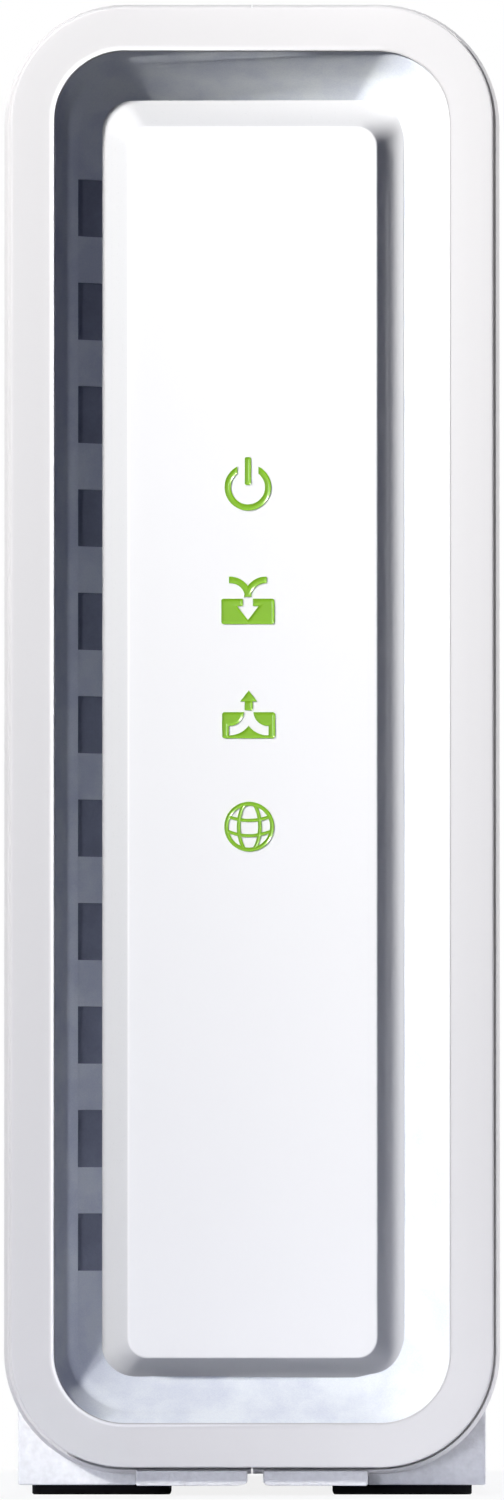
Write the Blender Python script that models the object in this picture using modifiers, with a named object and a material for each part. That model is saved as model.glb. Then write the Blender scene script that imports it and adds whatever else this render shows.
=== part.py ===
"""Cable modem: a slim upright case on a low base, with its board, lights and sockets.

Metres, +Z up. The front faces -Y and the sockets face +Y. The origin lies on the surface
that the rubber pads stand on, under the middle of the whole object.
"""
import math

import bmesh
import bpy
from mathutils import Matrix

# Clearances
FIT = 0.0003  # gap between two pieces that touch
OVERCUT = 0.002  # how far a cutter runs past the face it opens
ROOT = 0.0006  # how far a boss or post sinks into the wall that carries it

# Case
BODY_WIDTH = 0.0442
BODY_HEIGHT = 0.1311
BODY_RADIUS = 0.0108
SHELL_DEPTH = 0.1200
SHELL_WALL = 0.0020
SEAM_GAP = 0.0003
TONGUE_THICKNESS = 0.0010
TONGUE_REACH = 0.0025

# Base and pads
PAD_PROUD = 0.0009
PAD_POCKET = 0.0007
PAD_WIDTH = 0.0124
PAD_LENGTH = 0.0160
PAD_RADIUS = 0.0012
PAD_END_MARGIN = 0.0050
PAD_SIDE_MARGIN = 0.0012
BASE_DROP = 0.0010
BASE_INSET = 0.00125
BASE_NOTCH = 0.00115
BASE_SETBACK = 0.0015
BASE_CHEEK_STEP = 0.0004
BASE_WEB_WIDTH = 0.0206

# Front ring
FRAME_INSET = 0.0004
FRAME_BORDER = 0.0042
FRAME_DEPTH = 0.0032
FRAME_EDGE = 0.0005
REVEAL = 0.0005

# Channel between the ring and the centre panel
CHANNEL_WIDTH = 0.0043
CHANNEL_LIP = 0.0006
CHANNEL_TIP = 0.0001
CHANNEL_STEP_AT = 0.0011
CHANNEL_STEP_DEPTH = 0.0030
CHANNEL_LEDGE = 0.0006
CHANNEL_FLOOR = 0.0060
CHANNEL_WALL = 0.0012
CHANNEL_SKIRT = 0.0050
CHANNEL_SEAT = 0.0020
CHANNEL_SEAT_RADIUS = 0.0008
AIR_SLOT_COUNT = 11
AIR_SLOT_PITCH = 0.00922
AIR_SLOT_HEIGHT = 0.0051
AIR_SLOT_WIDTH = 0.0019
AIR_SLOT_RISE = 0.0012

# Centre panel
PANEL_FACE_DEPTH = 0.0010
PANEL_FLANK = 0.0021
PANEL_RADIUS = 0.0031
PANEL_FACE_RADIUS = 0.0024
PANEL_FACE_DROP = 0.00045
PANEL_SHOULDER = 0.0004
PANEL_WALL = 0.0015

# Signs and their lights
SIGN_COUNT = 4
SIGN_PITCH = 0.01018
SIGN_TOP_RISE = 0.02275
LED_WIDTH = 0.0032
LED_DEPTH = 0.0027
LED_HEIGHT = 0.0020
PIPE_WIDTH = 0.0052
PIPE_HEIGHT = 0.0052
PIPE_TAIL = 0.0030
LIGHT_BOX_WALL = 0.0012

# Rear panel
REAR_RECESS = 0.0030
REAR_PANEL = 0.0020
REAR_SLOT_COUNT = 5
REAR_SLOT_PITCH = 0.0040
REAR_SLOT_WIDTH = 0.0160
REAR_SLOT_HEIGHT = 0.0016
REAR_SLOT_MARGIN = 0.0120

# Side vents
SIDE_SLOT_PITCH = 0.0052
SIDE_SLOT_WIDTH = 0.0022
SIDE_SLOT_LENGTH = 0.0120
SIDE_SLOT_MARGIN = 0.0020

# Screws, bosses and posts
SCREW_RADIUS = 0.0013
SCREW_HEAD_RADIUS = 0.0024
SCREW_HEAD_HEIGHT = 0.0014
SCREW_RIM_SHARE = 0.45
SCREW_CROWN_SHARE = 0.55
PANEL_SCREW_LENGTH = 0.0090
BOARD_SCREW_LENGTH = 0.0070
BOSS_RADIUS = 0.0030
BOSS_LENGTH = 0.0120
BOSS_MARGIN = 0.0020

# Main board; places on it are counted from its rear, front and top edges
BOARD_LENGTH = 0.0800
BOARD_HEIGHT = 0.1000
BOARD_THICKNESS = 0.0016
BOARD_OFFSET = 0.0069
BOARD_REAR_GAP = 0.0010
BOARD_SCREW_REAR = 0.0120
BOARD_SCREW_INSET = 0.0050
CHIP_SIZE = 0.0190
CHIP_HEIGHT = 0.0014
THERMAL_PAD_SIZE = 0.0180
THERMAL_PAD_HEIGHT = 0.0008
SINK_SIZE = 0.0280
SINK_BASE = 0.0022
SINK_FIN = 0.0012
SINK_FIN_COUNT = 7
SINK_FIN_HEIGHT = 0.0095
SINK_MARGIN = 0.0030
SINK_TOP = 0.0095
MEMORY_LENGTH = 0.0130
MEMORY_HEIGHT = 0.0090
MEMORY_THICKNESS = 0.0011
FLASH_SIZE = 0.0055
FLASH_THICKNESS = 0.0016
CRYSTAL_LENGTH = 0.0108
CRYSTAL_WIDTH = 0.0046
CRYSTAL_HEIGHT = 0.0036
CRYSTAL_RADIUS = 0.0021
COLUMN_GAP = 0.0040
TUNER_LENGTH = 0.0200
TUNER_HEIGHT = 0.0160
TUNER_RISE = 0.0060
TUNER_WALL = 0.0006
TUNER_GAP = 0.0020
INPUT_CAP_RADIUS = 0.0040
INPUT_CAP_HEIGHT = 0.0115
INPUT_CAP_REAR = 0.0220
FILTER_CAP_RADIUS = 0.0030
FILTER_CAP_HEIGHT = 0.0080
CAP_GAP = 0.0025
INDUCTOR_SIZE = 0.0070
INDUCTOR_HEIGHT = 0.0040
INDUCTOR_RADIUS = 0.0012

# Ethernet socket
ETHERNET_TOP = 0.0240
JACK_WIDTH = 0.0159
JACK_HEIGHT = 0.0133
JACK_DEPTH = 0.0210
JACK_PROUD = 0.0005
PORT_FLOOR = 0.0022
PORT_WIDTH = 0.0119
PORT_HEIGHT = 0.0072
PORT_DEPTH = 0.0150
TAB_WIDTH = 0.0062
TAB_HEIGHT = 0.0026
TAB_DEPTH = 0.0090
CONTACT_COUNT = 8
CONTACT_PITCH = 0.00102
CONTACT_WIDTH = 0.00045
CONTACT_THICKNESS = 0.00035
CONTACT_LENGTH = 0.0080
CONTACT_RISE = 0.0016
CONTACT_BAR = 0.0012
CONTACT_SETBACK = 0.0030
LINK_LIGHT_WIDTH = 0.0022
LINK_LIGHT_HEIGHT = 0.0018
LINK_LIGHT_DEPTH = 0.0040
LINK_LIGHT_WALL = 0.0006

# Coax socket
COAX_TOP = 0.0480
COAX_REACH = 0.0110
COAX_THREAD_RADIUS = 0.00476
COAX_ROOT_RADIUS = 0.00430
COAX_PITCH = 0.000794
COAX_PLAIN = 0.0016
COAX_BORE_RADIUS = 0.0036
COAX_BORE_DEPTH = 0.0090
COAX_BLOCK = 0.0126
COAX_BLOCK_DEPTH = 0.0100
COAX_INSERT_LENGTH = 0.0070
COAX_PIN_HOLE = 0.0006
WASHER_RADIUS = 0.0068
WASHER_THICKNESS = 0.0008
NUT_FLATS = 0.0111
NUT_THICKNESS = 0.0024
NUT_SIDES = 6

# Power inlet
POWER_TOP = 0.0660
POWER_WIDTH = 0.0090
POWER_HEIGHT = 0.0110
POWER_DEPTH = 0.0140
POWER_COLLAR_RADIUS = 0.0042
POWER_BORE_RADIUS = 0.0032
POWER_BORE_DEPTH = 0.0100
POWER_PIN_RADIUS = 0.0010
POWER_PIN_LENGTH = 0.0085
POWER_PIN_TIP_SHARE = 0.6

# Reset button
RESET_TOP = 0.0080
RESET_SIZE = 0.0062
RESET_TRAVEL = 0.0005
RESET_STANDOFF = 0.0008
RESET_STEM = 0.0022
RESET_STEM_RADIUS = 0.0014
RESET_FLANGE = 0.0006
RESET_FLANGE_RADIUS = 0.0020
RESET_COVER = 0.0006
RESET_BACK = 0.0010
PINHOLE_RADIUS = 0.0012

# Roundness: straight pieces in a quarter turn of a corner, and in a full turn
CORNER_STEPS = 8
SMALL_CORNER_STEPS = 3
EDGE_STEPS = 2
ROUND_STEPS = 16
FINE_STEPS = 24
SMALL_STEPS = 12
SMOOTH = math.radians(35)  # edges that turn less than this are shaded smooth
SHARP = math.radians(50)  # edges that turn more than this are rounded off
WELD = 1e-6  # points nearer than this are one point

# Planes of the case
TOTAL_DEPTH = FRAME_DEPTH + REVEAL + SHELL_DEPTH + COAX_REACH - REAR_RECESS
FRONT_Y = -TOTAL_DEPTH / 2
SHELL_FRONT = FRONT_Y + FRAME_DEPTH + REVEAL
SHELL_REAR = SHELL_FRONT + SHELL_DEPTH
REAR_OUT = SHELL_REAR - REAR_RECESS
REAR_IN = REAR_OUT - REAR_PANEL
BODY_BOTTOM = PAD_PROUD + BASE_DROP
BODY_TOP = BODY_BOTTOM + BODY_HEIGHT
BODY_MIDDLE = BODY_BOTTOM + BODY_HEIGHT / 2
CAVITY_WIDTH = BODY_WIDTH - 2 * SHELL_WALL
CAVITY_RADIUS = BODY_RADIUS - SHELL_WALL

# Ring opening, the outline that the channel and the panel are set in from
OPENING_INSET = FRAME_INSET + FRAME_BORDER
OPENING_WIDTH = BODY_WIDTH - 2 * OPENING_INSET
OPENING_HEIGHT = BODY_HEIGHT - 2 * OPENING_INSET
OPENING_RADIUS = BODY_RADIUS - OPENING_INSET
CHANNEL_BACK = CHANNEL_FLOOR + CHANNEL_WALL
FLANGE_FRONT = FRAME_DEPTH + FIT
FLANGE_BACK = FLANGE_FRONT + CHANNEL_WALL
SKIRT_END = FLANGE_BACK + CHANNEL_SKIRT

# Planes of the board
BOARD_FACE = -BOARD_OFFSET
BOARD_SEAT = BOARD_FACE + FIT
BOARD_BACK = BOARD_FACE - BOARD_THICKNESS
BOARD_REAR = REAR_IN - BOARD_REAR_GAP
BOARD_FRONT = BOARD_REAR - BOARD_LENGTH
BOARD_TOP = BODY_MIDDLE + BOARD_HEIGHT / 2
BOARD_BOTTOM = BOARD_TOP - BOARD_HEIGHT
SIGN_LEVELS = [BODY_MIDDLE + SIGN_TOP_RISE - SIGN_PITCH * row for row in range(SIGN_COUNT)]

# Axes of the sockets and of the button, as (x, z)
ETHERNET_AXIS = (BOARD_SEAT + JACK_HEIGHT / 2, BOARD_TOP - ETHERNET_TOP)
COAX_AXIS = (BOARD_SEAT + COAX_BLOCK / 2, BOARD_TOP - COAX_TOP)
POWER_AXIS = (BOARD_SEAT + POWER_HEIGHT / 2, BOARD_TOP - POWER_TOP)
RESET_AXIS = (BOARD_SEAT + RESET_SIZE / 2, BOARD_TOP - RESET_TOP)

# Screw places
BOSS_X = CAVITY_WIDTH / 2 - BOSS_RADIUS + ROOT
BOSS_LEVELS = (BODY_BOTTOM + BODY_RADIUS + BOSS_MARGIN, BODY_TOP - BODY_RADIUS - BOSS_MARGIN)
POST_ROWS = (BOARD_FRONT + BOARD_SCREW_INSET, BOARD_REAR - BOARD_SCREW_REAR)
POST_LEVELS = (BOARD_BOTTOM + BOARD_SCREW_INSET, BOARD_TOP - BOARD_SCREW_INSET)

# An outline drawn in (first, second) stands along the axis that each matrix is named for
ALONG_X = Matrix(((0, 0, 1, 0), (1, 0, 0, 0), (0, 1, 0, 0), (0, 0, 0, 1)))
ALONG_Y = Matrix.Rotation(math.pi / 2, 4, "X")
ALONG_Z = Matrix.Identity(4)
# A shape turned about local Z points along +Y or +X
TURN_TO_Y = Matrix.Rotation(-math.pi / 2, 4, "X")
TURN_TO_X = Matrix.Rotation(math.pi / 2, 4, "Y")


def clear_scene():
    """Remove whatever the file opened with."""
    for item in list(bpy.data.objects):
        bpy.data.objects.remove(item, do_unlink=True)


def make_collection(name):
    """Make a collection under the scene's own."""
    collection = bpy.data.collections.new(name)
    bpy.context.scene.collection.children.link(collection)
    return collection


def make_material(name, colour, roughness, metallic=0.0):
    """Make a plain Principled material."""
    material = bpy.data.materials.new(name)
    material.use_nodes = True
    shader = material.node_tree.nodes["Principled BSDF"]
    shader.inputs["Base Color"].default_value = (*colour, 1)
    shader.inputs["Roughness"].default_value = roughness
    shader.inputs["Metallic"].default_value = metallic
    return material


def make_finishes():
    """Make every material of the object, by its plain name."""
    return {
        "case_white": make_material("case_white", (0.84, 0.84, 0.86), 0.42),
        "panel_white": make_material("panel_white", (0.92, 0.92, 0.93), 0.25),
        "channel_silver": make_material("channel_silver", (0.52, 0.54, 0.61), 0.32, 0.7),
        "pad_black": make_material("pad_black", (0.012, 0.012, 0.013), 0.8),
        "rear_grey": make_material("rear_grey", (0.72, 0.72, 0.74), 0.5),
        "clear_plastic": make_material("clear_plastic", (0.80, 0.88, 0.84), 0.15),
        "black_plastic": make_material("black_plastic", (0.02, 0.02, 0.022), 0.45),
        "board_green": make_material("board_green", (0.03, 0.18, 0.08), 0.5),
        "bare_metal": make_material("bare_metal", (0.72, 0.71, 0.68), 0.3, 1.0),
        "brass": make_material("brass", (0.78, 0.62, 0.30), 0.3, 1.0),
        "steel": make_material("steel", (0.55, 0.55, 0.56), 0.35, 1.0),
        "soft_grey": make_material("soft_grey", (0.45, 0.46, 0.48), 0.8),
        "insert_white": make_material("insert_white", (0.86, 0.85, 0.80), 0.5),
        "lamp_white": make_material("lamp_white", (0.90, 0.92, 0.82), 0.3),
        "can_blue": make_material("can_blue", (0.10, 0.13, 0.28), 0.4),
    }


class Bench:
    """Where pieces and cutters are put, with the finishes they take."""

    def __init__(self):
        self.parts = make_collection("cable_modem")
        self.cutters = make_collection("cable_modem_cutters")
        self.finishes = make_finishes()

    def piece(self, name, mesh, finish, smooth_below=None):
        """Put a mesh in the model as the named piece."""
        mesh.name = name
        mesh.materials.append(self.finishes[finish])
        if smooth_below is not None:
            mesh.shade_smooth()
            mesh.set_sharp_from_angle(angle=smooth_below)
        obj = bpy.data.objects.new(name, mesh)
        self.parts.objects.link(obj)
        return obj

    def combine(self, obj, mesh, operation):
        """Cut a mesh out of a piece, or join it on, with a Boolean."""
        tool = bpy.data.objects.new(f"{obj.name}_{operation.lower()}", mesh)
        tool.hide_render = True
        tool.display_type = "WIRE"
        self.cutters.objects.link(tool)
        modifier = obj.modifiers.new(operation.title(), "BOOLEAN")
        modifier.operation = operation
        modifier.solver = "EXACT"
        modifier.object = tool

    def cut(self, obj, mesh):
        self.combine(obj, mesh, "DIFFERENCE")

    def join(self, obj, mesh):
        self.combine(obj, mesh, "UNION")


def arc(centre, radius, start, end, steps):
    """Points along an arc, ends included, with angles in degrees."""
    turn = [math.radians(start + (end - start) * step / steps) for step in range(steps + 1)]
    return [(centre[0] + radius * math.cos(a), centre[1] + radius * math.sin(a)) for a in turn]


def circle(centre, radius, steps=ROUND_STEPS):
    """Points round a circle."""
    return arc(centre, radius, 0, 360, steps)[:-1]


def rectangle(centre, width, height):
    """The four corners of a rectangle."""
    return rectangle_between(
        (centre[0] - width / 2, centre[1] - height / 2), (centre[0] + width / 2, centre[1] + height / 2)
    )


def rectangle_between(low, high):
    """The four corners of a rectangle between two opposite ones."""
    return [(low[0], low[1]), (high[0], low[1]), (high[0], high[1]), (low[0], high[1])]


def rounded(centre, width, height, radius, steps=CORNER_STEPS):
    """Outline of a rectangle with round corners."""
    across = width / 2 - radius
    up = height / 2 - radius
    points = []
    for start, side, level in ((0, 1, 1), (90, -1, 1), (180, -1, -1), (270, 1, -1)):
        corner = (centre[0] + side * across, centre[1] + level * up)
        points += arc(corner, radius, start, start + 90, steps)
    return points


def case_outline(inset, radius):
    """Outline of the case, set in all round."""
    return rounded((0, BODY_MIDDLE), BODY_WIDTH - 2 * inset, BODY_HEIGHT - 2 * inset, radius)


def slab(outlines, frame, low, high):
    """A flat outline, with any more outlines as its holes, thick between two planes."""
    curve = bpy.data.curves.new("outline", "CURVE")
    curve.dimensions = "2D"
    curve.fill_mode = "BOTH"
    curve.extrude = (high - low) / 2
    for points in outlines:
        spline = curve.splines.new("POLY")
        spline.points.add(len(points) - 1)
        for slot, (first, second) in zip(spline.points, points):
            slot.co = (first, second, 0, 1)
        spline.use_cyclic_u = True
    obj = bpy.data.objects.new("outline", curve)
    bpy.context.scene.collection.objects.link(obj)
    middle = (low + high) / 2
    along = frame @ Matrix.Translation((0, 0, -middle if frame is ALONG_Y else middle))
    obj.matrix_world = along
    mesh = baked(obj)
    mesh.transform(along)
    return mesh


def baked(obj):
    """The evaluated mesh of an object, welded, with the object removed."""
    bpy.context.view_layer.update()
    depsgraph = bpy.context.evaluated_depsgraph_get()
    mesh = bpy.data.meshes.new_from_object(obj.evaluated_get(depsgraph))
    work = bmesh.new()
    work.from_mesh(mesh)
    bmesh.ops.remove_doubles(work, verts=work.verts, dist=WELD)
    bmesh.ops.recalc_face_normals(work, faces=work.faces)
    work.to_mesh(mesh)
    work.free()
    bpy.data.objects.remove(obj, do_unlink=True)
    return mesh


def boxes(corners):
    """Separate blocks, each given by its low and high corners."""
    mesh = bpy.data.meshes.new("blocks")
    work = bmesh.new()
    for low, high in corners:
        size = [b - a for a, b in zip(low, high)]
        middle = [(a + b) / 2 for a, b in zip(low, high)]
        place = Matrix.Translation(middle) @ Matrix.Diagonal((*size, 1))
        bmesh.ops.create_cube(work, size=1, matrix=place)
    work.to_mesh(mesh)
    work.free()
    return mesh


def block(low, high):
    """One block between two corners."""
    return boxes([(low, high)])


def cylinders(places, radius, turn, low, high, steps=ROUND_STEPS):
    """Separate round bars through the given places, between two planes along their axis."""
    mesh = bpy.data.meshes.new("bars")
    work = bmesh.new()
    along = (low + high) / 2
    for first, second in places:
        centre = (along, first, second) if turn is TURN_TO_X else (first, along, second)
        bmesh.ops.create_cone(
            work,
            cap_ends=True,
            segments=steps,
            radius1=radius,
            radius2=radius,
            depth=high - low,
            matrix=Matrix.Translation(centre) @ turn,
        )
    work.to_mesh(mesh)
    work.free()
    return mesh


def turned(profile, place, steps=ROUND_STEPS):
    """A profile of (radius, height) points, top to bottom, turned about local Z."""
    mesh = bpy.data.meshes.new("profile")
    edges = [(index, index + 1) for index in range(len(profile) - 1)]
    mesh.from_pydata([(radius, 0, height) for radius, height in profile], edges, [])
    obj = bpy.data.objects.new("profile", mesh)
    bpy.context.scene.collection.objects.link(obj)
    screw = obj.modifiers.new("Turn", "SCREW")
    screw.axis = "Z"
    screw.steps = steps
    screw.render_steps = steps
    screw.use_merge_vertices = True
    screw.merge_threshold = WELD
    result = baked(obj)
    result.transform(place)
    return result


def skin_loops(loops, capped):
    """Faces between successive outlines of as many points; a ring closes on itself."""
    work = bmesh.new()
    rows = [[work.verts.new(point) for point in loop] for loop in loops]
    pairs = list(zip(rows, rows[1:]))
    if not capped:
        pairs.append((rows[-1], rows[0]))
    count = len(rows[0])
    for above, below in pairs:
        for index in range(count):
            after = (index + 1) % count
            work.faces.new((above[index], above[after], below[after], below[index]))
    if capped:
        work.faces.new(rows[0])
        work.faces.new(rows[-1])
    bmesh.ops.recalc_face_normals(work, faces=work.faces)
    mesh = bpy.data.meshes.new("loft")
    work.to_mesh(mesh)
    work.free()
    return mesh


def at_depth(outline, depth):
    """Lift an outline drawn in (x, z) to a depth behind the front."""
    return [(x, FRONT_Y + depth, z) for x, z in outline]


def channel_radius(inset):
    """Corner radius of the channel: concentric outside the opening, easing to the panel's inside."""
    if inset <= 0:
        return OPENING_RADIUS - inset
    eased = OPENING_RADIUS - inset * (OPENING_RADIUS - PANEL_RADIUS) / CHANNEL_WIDTH
    return max(eased, CHANNEL_SEAT_RADIUS)


def add_front_frame(bench):
    """White ring: two outlines, with its edges rounded."""
    outer = case_outline(FRAME_INSET, BODY_RADIUS - FRAME_INSET)
    inner = case_outline(OPENING_INSET, OPENING_RADIUS)
    ring = slab([outer, inner], ALONG_Y, FRONT_Y, FRONT_Y + FRAME_DEPTH)
    frame = bench.piece("front_frame", ring, "case_white", SMOOTH)
    bevel = frame.modifiers.new("Rounded edges", "BEVEL")
    bevel.width = FRAME_EDGE
    bevel.segments = EDGE_STEPS
    bevel.limit_method = "ANGLE"
    bevel.angle_limit = SHARP


def channel_section():
    """Cross-section of the channel as (inset from the ring's opening, depth from the front)."""
    skirt_out = -(OPENING_INSET - SHELL_WALL - FIT)
    skirt_in = skirt_out + CHANNEL_WALL
    ledge_end = CHANNEL_STEP_AT + CHANNEL_LEDGE
    floor_start = CHANNEL_WIDTH - FIT
    floor_end = CHANNEL_WIDTH + CHANNEL_SEAT
    return [
        (FIT, CHANNEL_LIP),
        (FIT + CHANNEL_TIP, CHANNEL_LIP),
        (CHANNEL_STEP_AT, CHANNEL_STEP_DEPTH),
        (ledge_end, CHANNEL_STEP_DEPTH + CHANNEL_TIP),
        (floor_start, CHANNEL_FLOOR),
        (floor_end, CHANNEL_FLOOR),
        (floor_end, CHANNEL_BACK),
        (floor_start - CHANNEL_WALL / 2, CHANNEL_BACK),
        (CHANNEL_STEP_AT, FLANGE_BACK + CHANNEL_TIP),
        (skirt_in, FLANGE_BACK),
        (skirt_in, SKIRT_END),
        (skirt_out, SKIRT_END),
        (skirt_out, FLANGE_FRONT),
        (FIT, FLANGE_FRONT),
    ]


def add_vent_channel(bench):
    """Silver channel: its section carried round the opening, with air slots at the left."""
    loops = []
    for inset, depth in channel_section():
        outline = case_outline(OPENING_INSET + inset, channel_radius(inset))
        loops.append(at_depth(outline, depth))
    channel = bench.piece("vent_channel", skin_loops(loops, False), "channel_silver", SMOOTH)
    outer = -OPENING_WIDTH / 2 + CHANNEL_STEP_AT + CHANNEL_LEDGE
    middle = BODY_MIDDLE + AIR_SLOT_RISE
    slots = []
    for row in range(AIR_SLOT_COUNT):
        level = middle + AIR_SLOT_PITCH * (row - (AIR_SLOT_COUNT - 1) / 2)
        low = (outer, FRONT_Y + CHANNEL_LIP, level - AIR_SLOT_HEIGHT / 2)
        high = (outer + AIR_SLOT_WIDTH, FRONT_Y + CHANNEL_BACK + OVERCUT, level + AIR_SLOT_HEIGHT / 2)
        slots.append((low, high))
    bench.cut(channel, boxes(slots))


def panel_outline(inset, radius, drop):
    """Outline of the centre panel, set in from its foot and lowered."""
    width = OPENING_WIDTH - 2 * (CHANNEL_WIDTH + inset)
    height = OPENING_HEIGHT - 2 * (CHANNEL_WIDTH + inset)
    return rounded((0, BODY_MIDDLE - drop), width, height, radius)


def add_front_panel(bench):
    """White raised panel: a hollow cap lofted from its foot to its face."""
    foot = CHANNEL_FLOOR - FIT
    inside = PANEL_FACE_DEPTH + PANEL_WALL
    loops = [
        at_depth(panel_outline(PANEL_FLANK, PANEL_FACE_RADIUS, PANEL_FACE_DROP), PANEL_FACE_DEPTH),
        at_depth(
            panel_outline(PANEL_FLANK - PANEL_SHOULDER, PANEL_FACE_RADIUS, PANEL_FACE_DROP),
            PANEL_FACE_DEPTH + PANEL_SHOULDER,
        ),
        at_depth(panel_outline(0, PANEL_RADIUS, 0), foot),
        at_depth(panel_outline(PANEL_WALL, PANEL_RADIUS - PANEL_WALL / 2, 0), foot),
        at_depth(
            panel_outline(PANEL_FLANK + PANEL_WALL, PANEL_FACE_RADIUS - PANEL_WALL / 2, PANEL_FACE_DROP),
            inside,
        ),
    ]
    bench.piece("front_panel", skin_loops(loops, True), "panel_white", SMOOTH)


def half_case(side):
    """Solid half of the case outline, up to the seam."""
    near = side * SEAM_GAP / 2
    across = side * (BODY_WIDTH / 2 - BODY_RADIUS)
    low = BODY_BOTTOM + BODY_RADIUS
    high = BODY_TOP - BODY_RADIUS
    turn = 0 if side > 0 else 180
    points = [(near, BODY_BOTTOM)]
    points += arc((across, low), BODY_RADIUS, 270, 270 + side * 90, CORNER_STEPS)
    points += arc((across, high), BODY_RADIUS, turn, turn + side * 90, CORNER_STEPS)
    points.append((near, BODY_TOP))
    return points


def base_blocks(side):
    """Half of the base: a low web in the middle and a cheek that squares the case's corner."""
    web = side * BASE_WEB_WIDTH / 2
    near = side * BASE_NOTCH / 2
    far = side * (BODY_WIDTH / 2 - BASE_INSET)
    front = SHELL_FRONT + BASE_SETBACK
    rear = SHELL_REAR - BASE_SETBACK
    sink = SHELL_WALL / 2
    spans = [
        (near, web + side * ROOT, BASE_CHEEK_STEP, BODY_BOTTOM + sink),
        (web, far, 0, BODY_BOTTOM + BODY_RADIUS),
    ]
    meshes = []
    for start, end, step, top in spans:
        low = (min(start, end), front + step, PAD_PROUD)
        high = (max(start, end), rear - step, top)
        meshes.append(block(low, high))
    return meshes


def pad_places():
    """Name, centre and size of each pad, from where the base's ends and sides are."""
    across = BODY_WIDTH / 2 - BASE_INSET - PAD_SIDE_MARGIN - PAD_WIDTH / 2
    front = SHELL_FRONT + BASE_SETBACK + PAD_END_MARGIN + PAD_LENGTH / 2
    rear = SHELL_REAR - BASE_SETBACK - PAD_END_MARGIN - PAD_LENGTH / 2
    places = []
    for end, along in (("front", front), ("rear", rear)):
        for hand, side in (("left", -1), ("right", 1)):
            places.append((f"pad_{end}_{hand}", side, (side * across, along)))
    return places


def add_pads(bench):
    """Rubber pads, each with most of its height in a pocket under the base."""
    for name, _, centre in pad_places():
        outline = rounded(centre, PAD_WIDTH, PAD_LENGTH, PAD_RADIUS, SMALL_CORNER_STEPS)
        mesh = slab([outline], ALONG_Z, 0, PAD_PROUD + PAD_POCKET - FIT)
        bench.piece(name, mesh, "pad_black")


def side_slots(side):
    """Two rows of upright slots through a side wall, low and high, between the board's posts."""
    start = POST_ROWS[0] + BOSS_RADIUS + SIDE_SLOT_MARGIN
    end = POST_ROWS[1] - BOSS_RADIUS - SIDE_SLOT_MARGIN
    count = int((end - start) / SIDE_SLOT_PITCH)
    first = (start + end) / 2 - SIDE_SLOT_PITCH * (count - 1) / 2
    reach = sorted((side * (CAVITY_WIDTH / 2 - OVERCUT), side * (BODY_WIDTH / 2 + OVERCUT)))
    offset = BODY_RADIUS + SIDE_SLOT_MARGIN + SIDE_SLOT_LENGTH / 2
    corners = []
    for level in (BODY_BOTTOM + offset, BODY_TOP - offset):
        for column in range(count):
            along = first + SIDE_SLOT_PITCH * column
            low = (reach[0], along - SIDE_SLOT_WIDTH / 2, level - SIDE_SLOT_LENGTH / 2)
            high = (reach[1], along + SIDE_SLOT_WIDTH / 2, level + SIDE_SLOT_LENGTH / 2)
            corners.append((low, high))
    return boxes(corners)


def seam_tongues():
    """Strips inside the right half, top and bottom, that lap behind the seam."""
    front = FRONT_Y + SKIRT_END + FIT
    rear = REAR_IN - FIT
    strips = []
    roots = []
    for level, inward in ((BODY_TOP - SHELL_WALL, -1), (BODY_BOTTOM + SHELL_WALL, 1)):
        near = level + inward * FIT
        far = near + inward * TONGUE_THICKNESS
        sunk = level - inward * ROOT
        strips.append(((-TONGUE_REACH, front, min(near, far)), (TONGUE_REACH, rear, max(near, far))))
        roots.append(((TONGUE_REACH / 2, front, min(sunk, far)), (TONGUE_REACH, rear, max(sunk, far))))
    return boxes(strips), boxes(roots)


def post_places():
    """Where the board's four screws go, as (y, z)."""
    return [(along, level) for along in POST_ROWS for level in POST_LEVELS]


def add_shell(bench, name, side):
    """Half of the case, with its half of the base, bosses for the rear panel and vents."""
    solid = slab([half_case(side)], ALONG_Y, SHELL_FRONT, SHELL_REAR)
    shell = bench.piece(name, solid, "case_white", SMOOTH)
    for mesh in base_blocks(side):
        bench.join(shell, mesh)
    cavity = case_outline(SHELL_WALL, CAVITY_RADIUS)
    bench.cut(shell, slab([cavity], ALONG_Y, SHELL_FRONT - OVERCUT, SHELL_REAR + OVERCUT))
    bosses = [(side * BOSS_X, level) for level in BOSS_LEVELS]
    boss_end = REAR_IN - FIT
    bench.join(shell, cylinders(bosses, BOSS_RADIUS, TURN_TO_Y, boss_end - BOSS_LENGTH, boss_end))
    hole = SCREW_RADIUS + FIT
    hole_depth = PANEL_SCREW_LENGTH - REAR_PANEL
    bench.cut(shell, cylinders(bosses, hole, TURN_TO_Y, boss_end - hole_depth, boss_end + OVERCUT))
    if side < 0:
        post_end = BOARD_BACK - FIT
        foot = -CAVITY_WIDTH / 2 - ROOT
        hole_start = post_end - BOARD_SCREW_LENGTH + BOARD_THICKNESS
        bench.join(shell, cylinders(post_places(), BOSS_RADIUS, TURN_TO_X, foot, post_end))
        bench.cut(shell, cylinders(post_places(), hole, TURN_TO_X, hole_start, post_end + OVERCUT))
    else:
        for mesh in seam_tongues():
            bench.join(shell, mesh)
    bench.cut(shell, side_slots(side))
    for _, pad_side, centre in pad_places():
        if pad_side == side:
            width = PAD_WIDTH + 2 * FIT
            length = PAD_LENGTH + 2 * FIT
            outline = rounded(centre, width, length, PAD_RADIUS + FIT, SMALL_CORNER_STEPS)
            bench.cut(shell, slab([outline], ALONG_Z, PAD_PROUD - OVERCUT, PAD_PROUD + PAD_POCKET))


def rear_slots():
    """Air slots low in the rear panel."""
    first = BODY_BOTTOM + SHELL_WALL + REAR_SLOT_MARGIN
    levels = [first + REAR_SLOT_PITCH * row for row in range(REAR_SLOT_COUNT)]
    return [rectangle((0, level), REAR_SLOT_WIDTH, REAR_SLOT_HEIGHT) for level in levels]


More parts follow.
